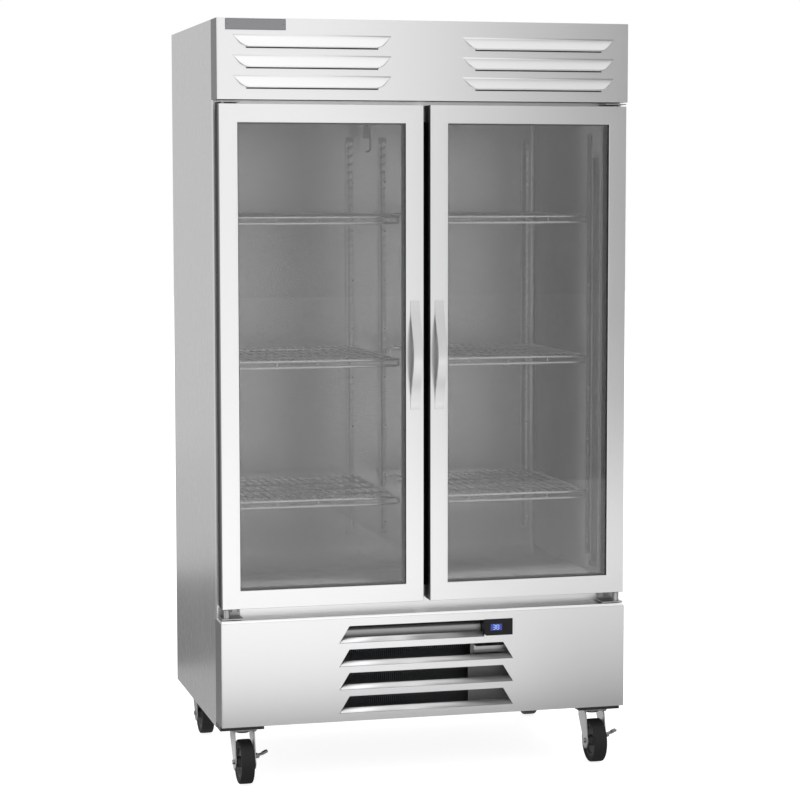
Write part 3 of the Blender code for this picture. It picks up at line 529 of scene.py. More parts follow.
def make_finishes():
    """Every finish of the object, by name."""
    leather = (1500.0, 1500.0, 1500.0)
    cast = (500.0, 500.0, 500.0)
    faint, soft, mild = ({"Specular_IOR_Level": level} for level in (0.15, 0.2, 0.3))
    made = [
        brushed("steel_x", "X"),
        brushed("steel_z", "Z"),
        brushed("side_steel", "Z", (0.56, 0.56, 0.563), 0.27),
        # A darker copy of the brushed steel for side returns, door sides and the side shield: painted shade
        # on faces turned from the light.
        varied("return_steel", (0.13, 0.13, 0.132), 0.46, (900.0, 900.0, 9.0), 0.6, 0.06, 0.03, 1e-6),
        brushed("dull_steel", "X", (0.34, 0.34, 0.345), 0.40),
        brushed("bracket_steel", "X", (0.46, 0.46, 0.465), 0.36),
        varied("liner_steel", (0.34, 0.34, 0.343), 0.25, (900.0, 900.0, 12.0), 1.0, 0.04, 0.02, 1e-6),
        # A darker copy of the lining steel for the interior's side walls and lamp channels: painted shade.
        varied("liner_side", (0.20, 0.20, 0.202), 0.34, (900.0, 900.0, 12.0), 1.0, 0.04, 0.02, 1e-6),
        brushed("badge_metal", "X", (0.23, 0.23, 0.235), 0.36),
        brushed("handle_steel", "Z", (0.60, 0.60, 0.603), 0.30),
        # A darker copy of the brushed steel for the grille's bent lips: painted shade that dims their
        # reflection.
        brushed("shaded_lip_steel", "X", (0.57, 0.57, 0.575), 0.34),
        # A lighter copy of the brushed steel for the sill ledge: a painted highlight.
        brushed("highlit_sill_steel", "X", (0.84, 0.84, 0.842), 0.34),
        spangled("galvanised"),
        varied("zinc", (0.42, 0.42, 0.425), 0.38, cast, 1.0, 0.18, 0.08, 6e-6),
        varied("dark_zinc", (0.20, 0.20, 0.205), 0.45, cast, 1.0, 0.18, 0.08, 6e-6),
        varied("lining_grey", (0.24, 0.24, 0.242), 0.45, leather, 0.0, 0.15, 0.06, 4e-6),
        varied("wire_grey", (0.34, 0.34, 0.344), 0.42, cast, 1.0, 0.10, 0.06, 2e-6),
        varied("chrome", (0.80, 0.80, 0.805), 0.20, cast, 1.0, 0.10, 0.06, 2e-6),
        varied("aluminium", (0.56, 0.57, 0.58), 0.38, (700.0, 30.0, 700.0), 1.0, 0.12, 0.06),
        varied("fins", (0.24, 0.25, 0.26), 0.50, cast, 1.0, 0.30, 0.10),
        varied("copper", (0.62, 0.33, 0.22), 0.32, cast, 1.0, 0.30, 0.12),
        varied("door_black", (0.008, 0.008, 0.008), 0.55, leather, 0.0, 0.25, 0.08, 5e-6, **faint),
        varied("black_plastic", (0.008, 0.008, 0.009), 0.42, leather, 0.0, 0.25, 0.08, 6e-6, **soft),
        varied("black_paint", (0.014, 0.014, 0.015), 0.45, cast, 0.0, 0.30, 0.10, 2e-5),
        varied("seal_rubber", (0.012, 0.012, 0.012), 0.60, cast, 0.0, 0.30, 0.08, 1e-5),
        varied("tyre", (0.014, 0.014, 0.014), 0.60, cast, 0.0, 0.35, 0.10, 3e-5, **soft),
        varied("wheel_grey", (0.045, 0.045, 0.047), 0.50, cast, 0.0, 0.20, 0.08, 1e-5, **mild),
        varied("white_plastic", (0.62, 0.63, 0.63), 0.40, leather, 0.0, 0.08, 0.06, 6e-6),
        # The lamp cover's clouded grey is partly its own colour and partly painted shade, darkened to the dim
        # interior.
        varied("shaded_diffuser", (0.26, 0.265, 0.27), 0.30, (60.0, 60.0, 900.0), 0.0, 0.08, 0.05, 1e-5),
        varied("screen", (0.03, 0.05, 0.30), 0.18, leather, 0.0, 0.30, 0.04, 1e-6),
        clear_glass("glass", (0.80, 0.80, 0.80)),
        glowing("digit", (0.35, 0.50, 1.0), 1.6),
    ]
    return {material.name.removesuffix("_finish"): material for material in made}


FINISHES = make_finishes()


def refinish(node, finish, ease=None):
    """Gives a CAD node that stays in view its finish, and rounds its edges if asked."""
    obj = frame["nodes"][node]
    obj.data.materials.clear()
    obj.data.materials.append(FINISHES[finish])
    if ease:
        smooth(obj)
        ease_edges(obj, ease)


# Cabinet.


def channel_outline(low, high):
    """A sheet across the front, bent back at both sides, seen from above."""
    half, back = high[0], high[1]
    right = (half - BEND, low[1] + BEND)
    left = (-half + BEND, low[1] + BEND)
    inner = BEND - SHEET
    return [
        (half, back),
        *arc(right, BEND, 0, -90, 5),
        *arc(left, BEND, -90, -180, 5),
        (-half, back),
        (-half + SHEET, back),
        *arc(left, inner, -180, -90, 5),
        *arc(right, inner, -90, 0, 5),
        (half - SHEET, back),
    ]


def badge():
    """The raised rim and rivets of the blank maker's plate."""
    low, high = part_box("badge_plate")
    refinish("badge_plate", "badge_metal", 0.0003)
    rim = bmesh.new()
    width = 0.0016
    near, far = low.y - 0.0004, low.y + 0.0002
    profile = [(0.0, near), (0.0, far), (width, far), (width, near)]
    add_mitred_ring(rim, profile, (low.x, low.z), (high.x, high.z))
    for x in (low.x + 0.0065, high.x - 0.0065):
        add_prism(rim, circle((x, (low.z + high.z) / 2), 0.0018, 16), "Y", near, far)
    piece("badge_rim", rim, "dark_zinc")


def finish_sheet(sheet):
    """Shades a cut sheet, and gives its sides, folded back from its front, the second of its finishes: a
    darker steel that paints the shade on those returns.
    """
    smooth(sheet)
    flatten_faces(sheet)
    for polygon in sheet.data.polygons:
        polygon.material_index = int(abs(polygon.normal.x) > 0.9)


def add_hood(bm, centre, root, face):
    """Adds one louvre: a pressed hood that rises from its root to an open, curled lower lip."""
    rows = 16
    shoulders = (0.0, 0.12, 0.35, 0.65, 1.0)
    full = 1 - HOOD_ROOT * (1 - math.exp(-1 / HOOD_ROOT))
    grid = []
    for row in range(rows + 1):
        v = row / rows
        height = HOOD_REACH * (v - HOOD_ROOT * (1 - math.exp(-v / HOOD_ROOT))) / full
        to_mouth = HOOD_HEIGHT * (1 - v)
        corner = HOOD_CORNER - math.sqrt(max(0.0, HOOD_CORNER**2 - max(0.0, HOOD_CORNER - to_mouth) ** 2))
        half = HOOD_HALF_LENGTH - HOOD_SLANT * v - corner
        draft = 0.0004 + HOOD_DRAFT * height
        steps = [(draft * s, math.sin(s * math.pi / 2) ** 1.2) for s in shoulders]
        left = [(centre - half + inset, rise) for inset, rise in steps]
        right = [(centre + half - inset, rise) for inset, rise in reversed(steps)]
        z = root - HOOD_HEIGHT * v
        grid.append([(x, face - height * rise, z) for x, rise in (*left, *right)])
    for degrees in (20, 40, 60, 80):
        angle = math.radians(degrees)
        drop = HOOD_CURL * math.sin(angle)
        back = HOOD_CURL * (1 - math.cos(angle))
        lip = [(x, min(face, y + back), z - drop) for x, y, z in grid[rows]]
        grid.append(lip)
    corners = [[bm.verts.new(place) for place in row] for row in grid]
    for upper, lower in zip(corners, corners[1:]):
        for i in range(len(upper) - 1):
            bm.faces.new((upper[i], upper[i + 1], lower[i + 1], lower[i]))


def hood_places(high):
    """The centre and root height of each louvre."""
    for side in SIDES.values():
        for row in range(HOOD_ROWS):
            yield side * HOOD_CENTRE, high[2] - HOOD_DROP - row * HOOD_PITCH


def header():
    """The louvred sheet over the doors, with a black sheet behind its louvres as painted shade where the
    openings show only shadow.
    """
    low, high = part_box("header_panel")
    low.y += HOOD_STAND
    bm = bmesh.new()
    add_prism(bm, channel_outline(low, high), "Z", low.z, high.z)
    # The header's side returns take the darker steel as painted shade.
    sheet = piece("header_sheet", bm, "steel_x return_steel", ["header_panel"])
    holes = bmesh.new()
    hoods = bmesh.new()
    screen = bmesh.new()
    half = HOOD_HALF_LENGTH - HOOD_SLANT - HOOD_CORNER - HOOD_MARGIN
    back = low.y + SHEET
    for centre, root in hood_places(high):
        start = (centre - half, root - HOOD_HEIGHT - HOOD_CURL - HOOD_GAP)
        end = (centre + half, root - HOOD_HOLE_DROP)
        add_box(holes, (start[0], low.y - 0.01, start[1]), (end[0], low.y + 0.01, end[1]))
        add_box(screen, (start[0], back - 0.0003, start[1]), (end[0], back, end[1]))
        add_hood(hoods, centre, root, low.y + 0.0001)
    cut(sheet, holes)
    finish_sheet(sheet)
    louvres = piece("header_louvres", hoods, "steel_x")
    face_forward(louvres)
    thicken(louvres, SHEET, -1.0)
    # A black sheet behind the louvre openings: painted shade where there is only shadow.
    piece("header_shade_sheet", screen, "black_paint")


def face_forward(obj):
    """Turns a surface so that its outside faces the front."""
    if sum(polygon.normal.y * polygon.area for polygon in obj.data.polygons) > 0:
        obj.data.flip_normals()


def thicken(obj, thickness, offset):
    """Gives a surface its sheet's thickness."""
    modifier = obj.modifiers.new("thickness", "SOLIDIFY")
    modifier.thickness = thickness
    modifier.offset = offset


def slot_spans(high):
    """The top height, low and high X, and end slants of each slot of the grille."""
    controller_low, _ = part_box("controller")
    for row in range(SLOT_ROWS):
        top = high.z - SLOT_DROP - row * SLOT_PITCH
        right = controller_low.x + 0.001 if row == 0 else SLOT_HALF_LENGTH
        yield top, -SLOT_HALF_LENGTH, right, (SLOT_SLANT, 0.0 if row == 0 else SLOT_SLANT)


def add_slanted_strip(bm, profile, span, slants, root, gap=0.0):
    """Adds a sheet along X through (Y, Z) points, its ends following a slot's slants above its root."""
    rows = []
    for y, z in profile:
        rise = (z - root) / SLOT_HEIGHT
        start = span[0] + slants[0] * rise + gap
        end = span[1] - slants[1] * rise - gap
        rows.append([bm.verts.new((start, y, z)), bm.verts.new((end, y, z))])
    for one, two in zip(rows, rows[1:]):
        bm.faces.new((one[0], one[1], two[1], two[0]))


def grille():
    """The lower front sheet, with four open slots whose lower lips are bent inwards."""
    low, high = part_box("grille_panel")
    bm = bmesh.new()
    add_prism(bm, channel_outline(low, high), "Z", low.z, high.z)
    # The grille's side returns take the darker steel as painted shade.
    sheet = piece("grille_sheet", bm, "steel_x return_steel", ["grille_panel"])
    holes = bmesh.new()
    lips = bmesh.new()
    for top, start, end, slants in slot_spans(high):
        root = top - SLOT_HEIGHT
        outline = [(start, root), (end, root), (end - slants[1], top), (start + slants[0], top)]
        add_prism(holes, outline, "Y", low.y - 0.01, low.y + 0.01)
        profile = [(low.y + LIP_BEND - y, root + z) for y, z in arc((0, 0), LIP_BEND, 0, LIP_TURN, 10)]
        add_slanted_strip(lips, profile, (start, end), slants, root, LIP_GAP)
    cut(sheet, holes)
    window = bmesh.new()
    add_prism(window, controller_outline(0.0003), "Y", low.y - 0.01, low.y + 0.01)
    cut(sheet, window)
    finish_sheet(sheet)
    # The lips take the darker steel as painted shade.
    bent = piece("grille_lips", lips, "shaded_lip_steel")
    face_forward(bent)
    thicken(bent, SHEET, -1.0)
    grille_backing(low, high)


def grille_backing(low, high):
    """The wiring channel behind the top slot and the bracket that carries the controller."""
    controller_low, controller_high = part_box("controller")
    near, far = low.y + CHANNEL_FRONT, low.y + CHANNEL_BACK
    top = high.z - SLOT_DROP - 0.010
    bottom = top - CHANNEL_HEIGHT
    bend = arc((near + CHANNEL_BEND, top - CHANNEL_BEND), CHANNEL_BEND, 180, 90, 6)
    channel = bmesh.new()
    outline = [(near, bottom), *bend, (far, top), (far, bottom)]
    add_prism(channel, outline, "X", -SLOT_HALF_LENGTH - 0.02, controller_low.x - 0.001)
    piece("wiring_channel", channel, "dull_steel", ease=0.001)
    x0, x1 = controller_low.x - 0.020, controller_high.x + 0.030
    base = controller_low.z - 0.004
    ledge = base - 0.029
    foot = base - 0.054
    step = foot + 0.008
    upright = low.y + 0.040
    bracket = bmesh.new()
    add_box(bracket, (x0, low.y + 0.010, ledge), (x1, far, ledge + SHEET))
    add_box(bracket, (x0, upright, foot), (x1, upright + SHEET, ledge + 0.0002))
    add_box(bracket, (x0, low.y + 0.024, step), (x1, upright + 0.0005, step + SHEET))
    piece("controller_bracket", bracket, "bracket_steel", ease=0.0004)
    shield = bmesh.new()
    wall = far + 0.002
    add_box(shield, (x0 - 0.014, low.y + 0.026, base - 0.064), (x0 - 0.003, near, base - 0.002))
    add_box(shield, (x0 - 0.012, wall, low.z + 0.004), (x1, wall + SHEET, base - 0.062))
    # The side shield takes the darker steel as painted shade behind the slots.
    piece("side_shield", shield, "return_steel", ease=0.0006)


def liner():
    """The interior's steel lining, with coved corners, open at the front and painted darker on its side walls
    as shade.
    """
    gap = 0.0010
    cove = 0.012
    half = -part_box("left_wall")[1].x - gap
    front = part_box("face_frame")[1].y + 0.0005
    wall_low, wall_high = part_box("back_wall")
    back = wall_low.y - gap - cove
    outline = [
        (-half, front),
        *arc((-half + cove, back), cove, 180, 90, 5),
        *arc((half - cove, back), cove, 90, 0, 5),
        (half, front),
    ]
    bm = bmesh.new()
    heights = (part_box("cabinet_floor")[1].z + gap, wall_high.z - gap)
    rows = [[bm.verts.new((x, y, z)) for x, y in outline] for z in heights]
    for i in range(len(outline) - 1):
        bm.faces.new((rows[0][i], rows[0][i + 1], rows[1][i + 1], rows[1][i]))
    for row in rows:
        bm.faces.new(row)
    # The side walls take the darker lining as painted shade.
    obj = piece("cabinet_liner", bm, "liner_steel liner_side")
    for polygon in obj.data.polygons:
        polygon.material_index = int(abs(polygon.normal.x) > 0.9)
    thicken(obj, LINER_SHEET, 1.0)


def add_pilaster(bm, screws, place, facing, bottom, top):
    """Adds a slotted shelf standard on a wall, facing along an X or Y direction, and its screws."""
    forward = Vector(facing)
    across = Vector((-forward.y, forward.x, 0))
    half = PILASTER_WIDTH / 2
    window = 0.0028
    section = (
        (-half, 0.0),
        (-half, PILASTER_DEPTH),
        (-window, PILASTER_DEPTH),
        (window, PILASTER_DEPTH),
        (half, PILASTER_DEPTH),
        (half, 0.0),
    )
    slot = 0.007
    heights = [bottom]
    while heights[-1] + PILASTER_PITCH < top:
        heights.append(heights[-1] + PILASTER_PITCH - slot)
        heights.append(heights[-1] + slot)
    heights.append(top)
    rows = []
    for z in heights:
        base = Vector((place[0], place[1], z))
        rows.append([bm.verts.new(base + across * u + forward * v) for u, v in section])
    for k, (lower, upper) in enumerate(zip(rows, rows[1:])):
        for i in range(len(section) - 1):
            if k % 2 and i == 2:
                continue
            bm.faces.new((lower[i], lower[i + 1], upper[i + 1], upper[i]))
    z = bottom + SCREW_PITCH / 4
    while z < top:
        spot = Vector((place[0], place[1], z)) + forward * PILASTER_DEPTH + across * 0.0075
        add_screw(screws, spot, forward, 0.0030)
        z += SCREW_PITCH


def pilaster_places():
    """Where each shelf standard stands and which way it faces."""
    wall = -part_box("left_wall")[1].x - 0.0014
    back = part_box("back_wall")[0].y - 0.0014
    mullion_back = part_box("center_mullion")[1].y
    front_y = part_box("right_shelf_upper")[0].y + 0.050
    yield (0.0525, back), (0, -1, 0)
    yield (-0.0525, back), (0, -1, 0)
    for side in SIDES.values():
        yield (side * (wall - 0.030), back), (0, -1, 0)
        yield (side * wall, front_y), (-side, 0, 0)
        yield (side * 0.026, mullion_back + 0.0002), (0, 1, 0)


def pilasters():
    """The slotted standards that the shelves hang on."""
    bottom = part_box("cabinet_floor")[1].z + 0.055
    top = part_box("center_mullion")[1].z - 0.030
    bm = bmesh.new()
    screws = bmesh.new()
    for place, facing in pilaster_places():
        add_pilaster(bm, screws, place, facing, bottom, top)
    obj = piece("pilasters", bm, "liner_steel", degrees=20)
    thicken(obj, 0.0010, -1.0)
    piece("pilaster_screws", screws, "zinc")


def shelf(side_name, level):
    """A welded wire shelf: a deck of wires on cross rails, with a double front rail."""
    node = f"{side_name}_shelf_{level}"
    low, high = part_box(node)
    x0 = low.x + RAIL - (SHELF_REACH if side_name == "right" else 0.0)
    x1 = high.x - RAIL + (SHELF_REACH if side_name == "left" else 0.0)
    y0, y1 = low.y + RAIL, high.y - RAIL
    top = high.z - WIRE
    rail_z = top - WIRE / 2 - RAIL
    lower_z = low.z + RAIL
    rails = bmesh.new()
    loop = [(x, y, rail_z) for x, y in ((x0, y0), (x1, y0), (x1, y1), (x0, y1))]
    add_tube(rails, rounded_path(loop, SHELF_CORNER, 4, closed=True), RAIL, 10, closed=True)
    fold = y0 + SHELF_FOLD
    lip = [(x0, fold, rail_z), (x0, y0, lower_z), (x1, y0, lower_z), (x1, fold, rail_z)]
    add_tube(rails, rounded_path(lip, 1.2 * SHELF_CORNER), RAIL, 10)
    for x in between(x0, x1, 4):
        add_tube(rails, [(x, y0, lower_z), (x, y0, rail_z)], WIRE / 2)
    deck = bmesh.new()
    for y in between(y0, y1, 4):
        add_tube(deck, [(x0, y, rail_z), (x1, y, rail_z)], RAIL * 0.85)
    for x in between(x0, x1, round((x1 - x0) / WIRE_PITCH)):
        add_tube(deck, [(x, y0 - RAIL / 2, top), (x, y1 + RAIL / 2, top)], WIRE / 2)
    piece(f"{node}_rails", rails, "chrome", [node])
    piece(f"{node}_deck", deck, "wire_grey")


def shelf_clips():
    """The clips that hook into the standards under each shelf's corners."""
    bm = bmesh.new()
    half = 0.006
    for side_name, side in SIDES.items():
        for level in LEVELS:
            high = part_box(f"{side_name}_shelf_{level}")[1]
            top = high.z - WIRE - 2.2 * RAIL
            under = top - CLIP
            near, far = high.y - 0.014, high.y + 0.044
            for x in (side * 0.0525, side * 0.5195):
                add_box(bm, (x - half, near, under), (x + half, far, top))
                add_box(bm, (x - half, near - 0.0005, under), (x + half, near + 0.001, top + 0.008))
                add_box(bm, (x - CLIP, high.y + 0.020, top - 0.016), (x + CLIP, far + 0.0005, top))
    piece("shelf_clips", bm, "zinc", ease=0.0003)


def led_bar(side_name, side):
    """An upright lamp: an aluminium channel, a clouded cover and two end caps."""
    node = f"led_bar_{side_name}"
    low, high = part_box(node)
    outer, inner = (low.x, high.x) if side < 0 else (high.x, low.x)
    web, flange = outer - side * 0.004, low.y + 0.003
    start, end = low.z + 0.014, high.z - 0.014
    channel = bmesh.new()
    outline = [(outer, low.y), (outer, high.y), (web, high.y), (web, flange), (inner, flange), (inner, low.y)]
    add_prism(channel, outline, "Z", start, end)
    # The lamp's channel takes the darker lining as painted shade.
    piece(f"{node}_channel", channel, "liner_side", ease=0.0004)
    cover = bmesh.new()
    middle = (web - side * 0.0005, flange + 0.0005)
    curve = [(middle[0] - side * a, middle[1] + b * 1.55) for a, b in arc((0, 0), 0.0125, 0, 90, 8)]
    add_prism(cover, [middle, *curve], "Z", start, end)
    # The cover's grey is partly painted shade.
    piece(f"{node}_cover", cover, "shaded_diffuser", [node])
    caps = bmesh.new()
    for bottom, top in ((low.z, start), (end, high.z)):
        add_box(caps, (low.x, low.y, bottom), (high.x, high.y, top))
    piece(f"{node}_caps", caps, "lining_grey", ease=0.0015)


def evaporator_trim():
    """The fan's wire guard on the cooling unit, and the probe that hangs from it."""
    low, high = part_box("evaporator_cover")
    fan_low, fan_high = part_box("evaporator_fan")
    centre = (fan_low + fan_high) / 2
    outer = (fan_high.x - fan_low.x) / 2 + 0.010
    front = low.y - 0.030
    guard = bmesh.new()
    for part in (0.25, 0.5, 0.75, 1.0):
        ring = circle((centre.x, centre.z), outer * part, 40)
        add_tube(guard, [(x, front, z) for x, z in ring], 0.0012, 6, closed=True)
    for x, z in circle((centre.x, centre.z), outer, 4, 45):
        spoke = [(centre.x, front, centre.z), (x, front, z), (x, low.y, z)]
        add_tube(guard, rounded_path(spoke, 0.006), 0.0014, 6)
    piece("evaporator_guard", guard, "chrome")
    probe = bmesh.new()
    x, y, half = -0.016, high.y - 0.080, 0.013
    add_box(probe, (x - half, y - 0.001, low.z - 0.070), (x + half, y + 0.001, low.z + 0.002))
    corners = ((x + 0.010, low.z - 0.060), (x + 0.010, low.z - 0.110), (x - 0.004, low.z - 0.110))
    hook = [(hook_x, y - 0.003, hook_z) for hook_x, hook_z in corners]
    add_tube(probe, rounded_path(hook, 0.010), 0.0032, 10)
    piece("probe_bracket", probe, "black_plastic", ease=0.0004)


# Doors.


def door_ring(side_name):
    """The low and high (X, Z) corners and the front and back of a closed door's frame."""
    low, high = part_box(f"{side_name}_door_frame")
    return (low.x, low.z), (high.x, high.z), low.y, high.y


def door_caps(side_name, body):
    """The mitred stainless face of a door, folded round its outer edge and in to the glass."""
    low, high, front, _ = door_ring(side_name)
    face = front - CAP_PROUD
    outer = -0.0003
    inner = DOOR_BAR + 0.0006
    bend = 0.0012
    skin_thick = 0.0007
    outside = [
        (outer, front + CAP_RETURN),
        *[(outer + bend - a, face + bend - b) for a, b in arc((0, 0), bend, 0, 90, 3)],
        *[(inner - bend + a, face + bend - b) for a, b in arc((0, 0), bend, 90, 0, 3)],
        (inner, front + 0.0058),
    ]
    inside = [
        (inner - skin_thick, front + 0.0058),
        (inner - skin_thick, face + skin_thick),
        (outer + skin_thick, face + skin_thick),
        (outer + skin_thick, front + CAP_RETURN),
    ]
    bm = bmesh.new()
    add_mitred_ring(bm, [*outside, *inside], low, high, (0, 1))
    caps = piece(f"{side_name}_door_caps", bm, "steel_x steel_z return_steel", body=body)
    # The cap's side faces take the darker steel as painted shade.
    for polygon in caps.data.polygons:
        if abs(polygon.normal.x) > 0.9:
            polygon.material_index = 2
    flatten_faces(caps)


def door_glass(side_name, body):
    """Two panes, and the dark spacer between their edges."""
    node = f"{side_name}_glass_unit"
    low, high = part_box(node)
    panes = bmesh.new()
    for start in (low.y, high.y - PANE):
        add_box(panes, (low.x, start, low.z), (high.x, start + PANE, high.z))
    piece(f"{side_name}_glass_panes", panes, "glass", [node], body)
    spacer = bmesh.new()
    inset = 0.0012
    width = 0.0060
    near, far = low.y + PANE + 0.0001, high.y - PANE - 0.0001
    profile = [(inset, near), (inset, far), (inset + width, far), (inset + width, near)]
    add_mitred_ring(spacer, profile, (low.x, low.z), (high.x, high.z))
    piece(f"{side_name}_glass_spacer", spacer, "seal_rubber", body=body)


def door_gasket(side_name, body):
    """The magnetic seal: a soft bellows between the door and the cabinet."""
    node = f"{side_name}_gasket"
    low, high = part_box(node)
    width = 0.014
    deep = high.y - low.y
    folds = ((0.0, 0.0), (0.0025, 0.22), (0.0, 0.45), (0.0022, 0.62), (0.0, 0.78), (0.0, 1.0))
    profile = [(inset, low.y + deep * part) for inset, part in folds]
    profile += [(width - inset, low.y + deep * part) for inset, part in reversed(folds)]
    bm = bmesh.new()
    add_mitred_ring(bm, profile, (low.x, low.z), (high.x, high.z))
    piece(f"{side_name}_gasket_bellows", bm, "seal_rubber", [node], body)


def door_handle(side_name, body):
    """A smooth bowed strap whose ends lie flat on the door."""
    node = f"{side_name}_handle"
    low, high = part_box(node)
    middle = (low.z + high.z) / 2
    half = (high.z - low.z) / 2
    rise = high.y - low.y - HANDLE_END
    steps = 56
    outer = []
    inner = []
    for i in range(steps + 1):
        t = 2 * i / steps - 1
        z = middle + t * half
        out = HANDLE_END + rise * math.cos(math.pi * t / 2) ** 2
        outer.append((high.y - out, z))
        if out > HANDLE_THICK + 0.0003:
            inner.append((high.y - out + HANDLE_THICK, z))
    feet = [(high.y, z) for z in (outer[0][1], inner[0][1], inner[-1][1], outer[-1][1])]
    inner = [*feet[:2], *inner, *feet[2:]]
    bm = bmesh.new()
    add_prism(bm, [*outer, *reversed(inner)], "X", low.x, high.x)
    finish = "handle_steel"
    piece(f"{side_name}_handle_bow", bm, finish, [node], body, ease=0.0036, degrees=40)


def door_core(side_name):
    """The black core of the door, with a grey lining round its glass."""
    node = f"{side_name}_door_frame"
    refinish(node, "door_black", 0.0008)
    mesh = frame["nodes"][node].data
    mesh.materials.append(FINISHES["lining_grey"])
    low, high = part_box(node)
    margin = DOOR_BAR - 0.012
    for polygon in mesh.polygons:
        x, _, z = polygon.center
        inside = low.x + margin < x < high.x - margin and low.z + margin < z < high.z - margin
        polygon.material_index = int(inside and abs(polygon.normal.y) < 0.5)


def door(side_name):
    """One door, all of it carried by its own body."""
    body = f"{side_name}_door"
    door_core(side_name)
    for part in (door_caps, door_glass, door_gasket, door_handle):
        part(side_name, body)


def hinge_screws():
    """The screws that hold each hinge bracket to the face frame."""
    bm = bmesh.new()
    for side_name, side in SIDES.items():
        for end in ("lower", "upper"):
            node = f"{side_name}_{end}_hinge"
            low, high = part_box(node)
            refinish(node, "zinc", 0.0006)
            face = high.y - 0.003
            height = low.z + 0.0165 if end == "lower" else high.z - 0.012
            for part in (0.10, 0.42):
                x = (low.x if side > 0 else high.x) + side * part * (high.x - low.x)
                add_screw(bm, (x, face, height), (0, -1, 0), 0.0040)
    piece("hinge_screws", bm, "zinc")


# Controller.


def add_digit(bm, code, centre, size, front):
    """Adds one seven-segment digit; code has a 1 for each lit segment, from the top round to the middle."""
    half_w, half_h = size[0] / 2, size[1] / 2
    thick = size[0] * 0.16
    level = [((0, half_h), 0), ((half_w, half_h / 2), 1), ((half_w, -half_h / 2), 1), ((0, -half_h), 0)]
    level += [((-half_w, -half_h / 2), 1), ((-half_w, half_h / 2), 1), ((0, 0), 0)]
    for lit, (place, upright) in zip(code, level):
        if lit == "0":
            continue
        x, z = centre[0] + place[0], centre[1] + place[1]
        long = (half_h / 2 if upright else half_w) - thick * 0.7
        wide = (thick / 2, long) if upright else (long, thick / 2)
        add_box(bm, (x - wide[0], front, z - wide[1]), (x + wide[0], front + 0.0004, z + wide[1]))


def controller_outline(gap):
    """The controller's outline, with its chamfered corner, grown by a gap."""
    low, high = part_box("controller")
    chamfer = 0.006
    return [
        (low.x - gap + chamfer, low.z - gap),
        (high.x + gap, low.z - gap),
        (high.x + gap, high.z + gap),
        (low.x - gap, high.z + gap),
        (low.x - gap, low.z - gap + chamfer),
    ]


def controller():
    """The temperature controller: a bezel with a chamfered corner, a blue display and its digits."""
    low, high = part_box("controller")
    keys = [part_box("left_key"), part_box("right_key")]
    x = (keys[0][0].x + keys[1][1].x) / 2
    z = (keys[0][0].z + keys[0][1].z) / 2
    case = bmesh.new()
    add_prism(case, controller_outline(0.0), "Y", low.y, high.y)
    body = piece("controller_case", case, "black_plastic", ["controller"])
    half_w, half_h = DISPLAY_HALF
    before, recess = low.y - 0.01, low.y + 0.0014
    pockets = bmesh.new()
    add_box(pockets, (x - half_w, before, z - half_h), (x + half_w, recess, z + half_h))
    slack = Vector((0.0004, 0.0020, 0.0004))
    for start, end in keys:
        add_box(pockets, (start.x - slack.x, before, start.z - slack.z), end + slack)
    cut(body, pockets)
    smooth(body)
    ease_edges(body, 0.0005)
    front = low.y + 0.0009
    half_w -= 0.0004
    half_h -= 0.0004
    screen = bmesh.new()
    add_box(screen, (x - half_w, front, z - half_h), (x + half_w, recess, z + half_h))
    piece("controller_screen", screen, "screen", ease=0.0002)
    digits = bmesh.new()
    for code, offset in ((THREE, -0.0062), (EIGHT, 0.0042)):
        add_digit(digits, code, (x + offset, z), DIGIT, front - 0.0002)
    piece("controller_digits", digits, "digit")
    for key in ("left_key", "right_key"):
        refinish(key, "black_plastic", 0.0006)


# Machine compartment.


def condenser():
    """A coil of thin fins on rows of tubes, between two end plates."""
    low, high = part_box("condenser_coil")
    fins = bmesh.new()
    plate, inset, thin = 0.002, 0.002, 0.0006
    for start in (low.x, high.x - plate):
        add_box(fins, (start, low.y, low.z), (start + plate, high.y, high.z))
    for x in between(low.x, high.x, 84):
        add_box(fins, (x - thin, low.y + inset, low.z + inset), (x + thin, high.y - inset, high.z - inset))
    rows = 8
    tubes = bmesh.new()
    for row in range(rows):
        z = low.z + (high.z - low.z) * (row + 0.5) / rows
        for y in (low.y + 0.014, high.y - 0.014):
            add_tube(tubes, [(low.x + 0.0003, y, z), (high.x - 0.0003, y, z)], 0.0045)
    piece("condenser_fins", fins, "fins", ["condenser_coil"])
    piece("condenser_tubes", tubes, "black_paint")


